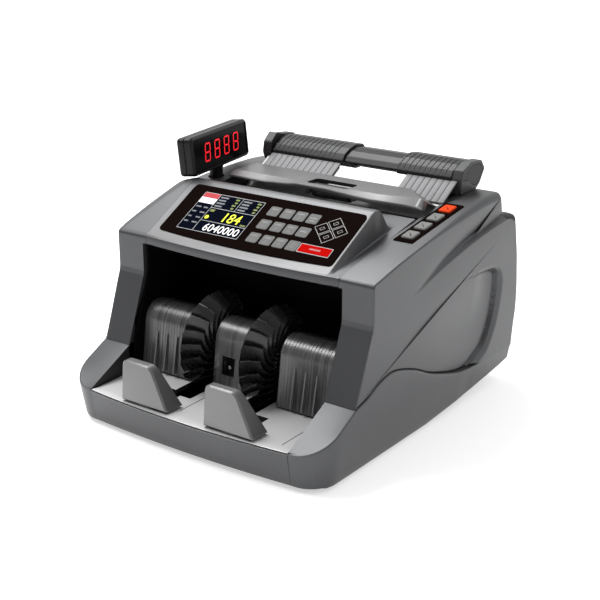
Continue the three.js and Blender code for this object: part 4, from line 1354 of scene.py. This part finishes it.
def segment_digit(centre_y, centre_z, x):
    """A lit seven-segment eight, leaning to the right."""
    w, h, t = 9.6, 16.6, 1.25
    gap = 0.3
    half = t / 2
    spots = []
    for level in (-1, 0, 1):
        z = level * (h - t) / 2
        reach = (w - t) / 2 - gap
        spots.append([(-reach, z), (-reach + half, z + half), (reach - half, z + half), (reach, z),
                      (reach - half, z - half), (-reach + half, z - half)])
    for side in (-1, 1):
        for level in (-1, 1):
            y = side * (w - t) / 2
            z0, z1 = sorted((level * gap, level * ((h - t) / 2 - gap)))
            spots.append([(y, z0), (y + half, z0 + half), (y + half, z1 - half), (y, z1),
                          (y - half, z1 - half), (y - half, z0 + half)])
    pieces = []
    for outline in spots:
        pts = np.array(outline)
        pts = np.column_stack([centre_y + pts[:, 0] + 0.13 * pts[:, 1], centre_z + pts[:, 1]])
        rings = [pod_points(at_x(x + lift, pts)) for lift in (-0.05, 0.15)]
        pieces.append(loft(rings, "segment", [LED_RED]))
    return join(pieces, "digit")


def make_post():
    """Post with a flared foot ring where it enters the cover."""
    cx, cy = POD_AXIS[:2]
    top = POD_HIGH.z + 1.6
    profile = [(POD_LOW.z, 5.8), (170.5, 6.0), (172.5, 6.2), (top - 2, 6.2), (top, 6.6)]
    rings = [at_z(z, arc(cx, cy, r, 0, 348, 29)) for z, r in profile]
    post = loft(rings, "pod_post_turned", [POD])
    finished(post, "display", ("pod_post",), 40)


# ---- stacker --------------------------------------------------------------------------------------
def vane(index, centre):
    """One thin helical blade; its trailing outer end is cut to a point."""
    hub, sweep_angle, helix = 11.5, -46, 16
    edge = ((-1, 7), (-0.55, 2), (-0.3, 0), (0.35, 5), (1, 11))
    start = 360 * index / VANES + 92
    rows = []
    steps = 10
    for k in range(steps + 1):
        t = k / steps
        thick = 1.9 * (1 - t) + 0.9 * t
        row = []
        for lateral, short in edge:
            r = hub + (WHEEL_R - short - hub) * t
            a = start + sweep_angle * ((r - hub) / (WHEEL_R - hub)) ** 1.25 - lateral * helix * t
            for face in (0, thick):
                angle = math.radians(a) + face / r
                x = centre + lateral * (WHEEL_WIDTH / 2)
                row.append((x, WHEEL_AXIS[0] + r * math.cos(angle), WHEEL_AXIS[1] + r * math.sin(angle)))
        rows.append([row[i] for i in (0, 2, 4, 6, 8, 9, 7, 5, 3, 1)])
    return loft(rows, "vane", [VANE])


def make_vane_wheel(centre, name):
    """A hub with a bore for the shaft, and its fan of blades."""
    hub_rings = []
    for x, r in ((-0.5, 12.2), (-0.46, 12.8), (0.46, 12.8), (0.5, 12.2)):
        ring = arc(*WHEEL_AXIS, r, 0, 348, 29)
        hub_rings.append(at_x(centre + x * WHEEL_WIDTH, ring))
    hub = loft(hub_rings, "hub", [VANE])
    bore = along_x("bore", arc(*WHEEL_AXIS, 3.3, 0, 345, 23), centre - 30, centre + 30)
    boolean(hub, [bore])
    wheel = join([hub] + [vane(i, centre) for i in range(VANES)], f"{name}_fan")
    return finished(wheel, "stacker_rotor", (name,), 40)


def hood_outline(shift):
    """Hood section: nearly upright front, rounded shoulder, open behind; moved inwards by shift."""
    shoulder = arc(13, 71, 17 - shift, 175, 70, 14)
    return [(-10 + shift, 31.5), (-7 + shift, 51), *shoulder.tolist(), (34, 82 - shift), (48, 76 - shift)]


def make_hood(name, x0, x1):
    """A stacker hood with fine vertical ribs on its front, or a sensor opening in the middle one."""
    thick = 2.0
    outer, inner = hood_outline(0), hood_outline(thick)
    section = np.array(outer + inner[::-1])
    n = len(outer)
    lean = inwards(section)
    wide = x1 - x0
    stations = [(x0, 0.9), (x0 + 0.35, 0.25), (x0 + 0.9, 0)]
    if wide > 40:
        pitch = 3.1
        for k in range(int((wide - 5) / pitch)):
            start = x0 + 2.6 + k * pitch
            stations += [(start, 0), (start + 0.25, 0.28), (start + 0.7, 0.28), (start + 0.95, 0)]
    stations += [(x1 - 0.9, 0), (x1 - 0.35, 0.25), (x1, 0.9)]
    rings = []
    for x, cut in stations:
        moved = section.copy()
        moved[:n] += lean[:n] * cut
        rings.append(at_x(x, moved))
    hood = loft(rings, "hood", [HOOD])
    pieces = [hood]
    if wide > 40:
        fin = [(-13, 33.6), (-9.3, 33.6), (-5, 64), (-6.0, 66.2)]
        for dx in (-11, 0, 11):
            middle = (x0 + x1) / 2 + dx
            pieces.append(bevel(along_x("fin", fin, middle - 0.6, middle + 0.6, [HOOD_EDGE]), 0.35, 2))
    else:
        low, high = local("sensor_window")
        boolean(hood, [block("opening", low.x - GAP, high.x + GAP, -20, 5, 44, 60)])
    obj = join(pieces, f"{name}_hood")
    return finished(obj, "chassis", (name,), 24)


def make_sensor():
    """Dark window in the middle hood, with the round bright eye of the count sensor."""
    pane = [(-7.2, 44.6), (-4.4, 44.6), (-2.3, 59.4), (-5.1, 59.4)]
    low, high = local("sensor_window")
    middle = (low.x + high.x) / 2 + 1.2
    window = along_x("pane", pane, low.x, high.x, [BLACK_GLOSS])
    bevel(window, 0.4, 2)
    rings = []
    for depth, r in ((0.4, 1.5), (-0.3, 1.5), (-0.6, 1.1)):
        ring = arc(middle, 51.5, r, 0, 340, 17)
        rings.append(np.column_stack([ring[:, 0], np.full(18, -6.15 + depth), ring[:, 1]]))
    eye = loft(rings, "eye", [STEEL])
    sensor = join([window, eye], "sensor_window_eye")
    return finished(sensor, "chassis", ("sensor_window",), 30)


# ---- stoppers -------------------------------------------------------------------------------------
def make_stopper(side):
    """Hollow wedge flag: upright front with one slanted edge, sloping back, bright bevelled rim."""
    low, high = local(f"stopper_{side}")
    middle = (low.x + high.x) / 2
    foot = LIP_Z + GAP + 0.6
    top = foot + 36
    front = low.y
    corners = [(middle - 25, foot, 1.5), (middle + 25, foot, 1.5),
               (middle + 8.5, top, 8.5), (middle - 22, top, 6)]
    outline = fillet(corners, 6)
    lean = inwards(outline)

    def ring(step, depth, share=0.0):
        pts = outline + lean * step
        back = depth + share * (top - pts[:, 1]) / (top - foot) * 12
        return np.column_stack([pts[:, 0], front + back, pts[:, 1]])

    steps = [(1.5, 0.0), (1.35, 0.03), (0.1, 1.35), (0, 1.5), (0, 7.4, 1), (0.3, 7.8, 1), (1.9, 7.9, 1),
             (2.2, 7.2, 1), (2.4, 2.4)]
    rings = [ring(*step) for step in steps]
    flag = loft(rings, "flag", [STOPPER])
    sides = (middle - 7, middle + 7)
    tongue = block("tongue", *sides, front + 11, front + 18, LIP_Z - 7, LIP_Z + 5, [STOPPER])
    foot_rib = block("rib", *sides, front + 1, front + 18, foot, LIP_Z + 5, [STOPPER])
    obj = join([flag, tongue, foot_rib], f"stopper_{side}_flag")
    return finished(obj, f"{side}_stopper", (f"stopper_{side}",), 22)


def make_foot(name):
    """Rubber foot with a rounded tread."""
    low, high = local(name)
    cx, cy = (low.x + high.x) / 2, (low.y + high.y) / 2
    profile = [(low.z, 6.4), (low.z + 0.25, 7.4), (low.z + 1.0, 8.1), (high.z - 0.3, 8.9), (high.z, 8.9)]
    rings = [at_z(z, arc(cx, cy, r, 0, 350, 35)) for z, r in profile]
    foot = loft(rings, f"{name}_tread", [RUBBER])
    return finished(foot, "chassis", (name,), 40)


# ---- seams ----------------------------------------------------------------------------------------
def make_seams():
    """Thin shadow lines moulded into the tray floor."""
    lines = []
    rise = 2.1 / (62 - LIP_Y - 8)
    for x in (-14, 14, LIP_SEAM - 12):
        path = [(x, y, LIP_Z - 0.5 + rise * (y - LIP_Y - 8)) for y in np.linspace(-60, -16, 12)]
        lines.append(ribbon("line", path, 0.24, [SEAM_DARK]))
    seams = join(lines, "tray_floor_lines")
    return finished(seams, "chassis")


# ---- room, lights and camera ------------------------------------------------------------------------
def make_floor():
    """A pale sheet the machine stands on, wide enough to fill the view."""
    reach = 6.0
    mesh = bpy.data.meshes.new("floor")
    mesh.from_pydata([(x, y, 0) for x, y in rect(-reach, reach, -reach, reach)], [], [(0, 1, 2, 3)])
    floor = bpy.data.objects.new("floor", mesh)
    bpy.context.scene.collection.objects.link(floor)
    m, tree, shader = nodes_of("floor_white")
    coords = tree.nodes.new("ShaderNodeTexCoord")
    varied(tree, shader, coords, (0.86, 0.86, 0.86), 0.01, 2)
    shader.inputs["Roughness"].default_value = 0.9
    shader.inputs["Emission Color"].default_value = (1, 1, 1, 1)
    shader.inputs["Emission Strength"].default_value = 0.5
    mesh.materials.append(m)


def soft_light(name, location, target, width, height, power):
    data = bpy.data.lights.new(name, "AREA")
    data.shape = "RECTANGLE"
    data.size = width
    data.size_y = height
    data.energy = power
    light = bpy.data.objects.new(name, data)
    bpy.context.scene.collection.objects.link(light)
    light.location = location
    light.rotation_euler = (Vector(target) - Vector(location)).to_track_quat("-Z", "Y").to_euler()
    return light


def make_surroundings():
    """White room behind and above the machine, darker in front of it."""
    world = bpy.data.worlds.new("studio")
    bpy.context.scene.world = world
    world.use_nodes = True
    tree = world.node_tree
    background = tree.nodes["Background"]
    coords = tree.nodes.new("ShaderNodeTexCoord")
    split = tree.nodes.new("ShaderNodeSeparateXYZ")
    tree.links.new(coords.outputs["Generated"], split.inputs["Vector"])
    reach = tree.nodes.new("ShaderNodeMapRange")
    reach.interpolation_type = "SMOOTHSTEP"
    reach.inputs["From Min"].default_value = -0.7
    reach.inputs["From Max"].default_value = 0.25
    reach.inputs["To Min"].default_value = 0.30
    reach.inputs["To Max"].default_value = 1.0
    tree.links.new(split.outputs["Y"], reach.inputs["Value"])
    tree.links.new(reach.outputs["Result"], background.inputs["Strength"])
    background.inputs["Color"].default_value = (1, 1, 1, 1)


def make_room():
    """Studio around the machine: white world, one soft light, pale floor."""
    make_surroundings()
    middle = (0, 0, 0.1)
    soft_light("overhead_left", (-0.58, 0.05, 1.2), middle, 1.5, 0.5, 25)
    make_floor()
    bpy.context.scene.view_settings.view_transform = "Standard"


CAMERA_PLACE = (607.15, -746.87, 444.1)
CAMERA_TURN = 36.08        # degrees round from straight ahead, and the tilt below level
CAMERA_TILT = 19.18
CAMERA_LENS = 75.1


def make_camera():
    """Product view from the front right, a little above the machine."""
    data = bpy.data.cameras.new("camera")
    data.sensor_width = 36
    data.lens = CAMERA_LENS
    camera = bpy.data.objects.new("camera", data)
    bpy.context.scene.collection.objects.link(camera)
    turn, tilt = math.radians(CAMERA_TURN), math.radians(CAMERA_TILT)
    camera.location = Vector(place([CAMERA_PLACE])[0])
    level = math.cos(tilt)
    aim = Vector((-math.sin(turn) * level, math.cos(turn) * level, -math.sin(tilt)))
    camera.rotation_euler = aim.to_track_quat("-Z", "Y").to_euler()
    bpy.context.scene.camera = camera


# ---- build ------------------------------------------------------------------------------------------
make_base()
make_tray()
make_cover()
make_console()
make_keypad()
make_lcd()
make_button_strip()
make_lid()
make_thumbwheel()
make_hopper()
make_pod()
for wheel_centre, name in zip(WHEEL_X, WHEELS):
    make_vane_wheel(wheel_centre, name)
make_hood("guide_left", -GUIDE_OUT - 2, -GUIDE_IN)
make_hood("guide_right", GUIDE_IN, GUIDE_OUT + 2)
make_hood("guide_centre", local("guide_centre")[0].x, local("guide_centre")[1].x)
make_sensor()
for side in ("left", "right"):
    make_stopper(side)
for name in ("foot_front_left", "foot_front_right", "foot_rear_left", "foot_rear_right"):
    make_foot(name)
make_seams()
dress_frame_nodes()
make_room()
make_camera()
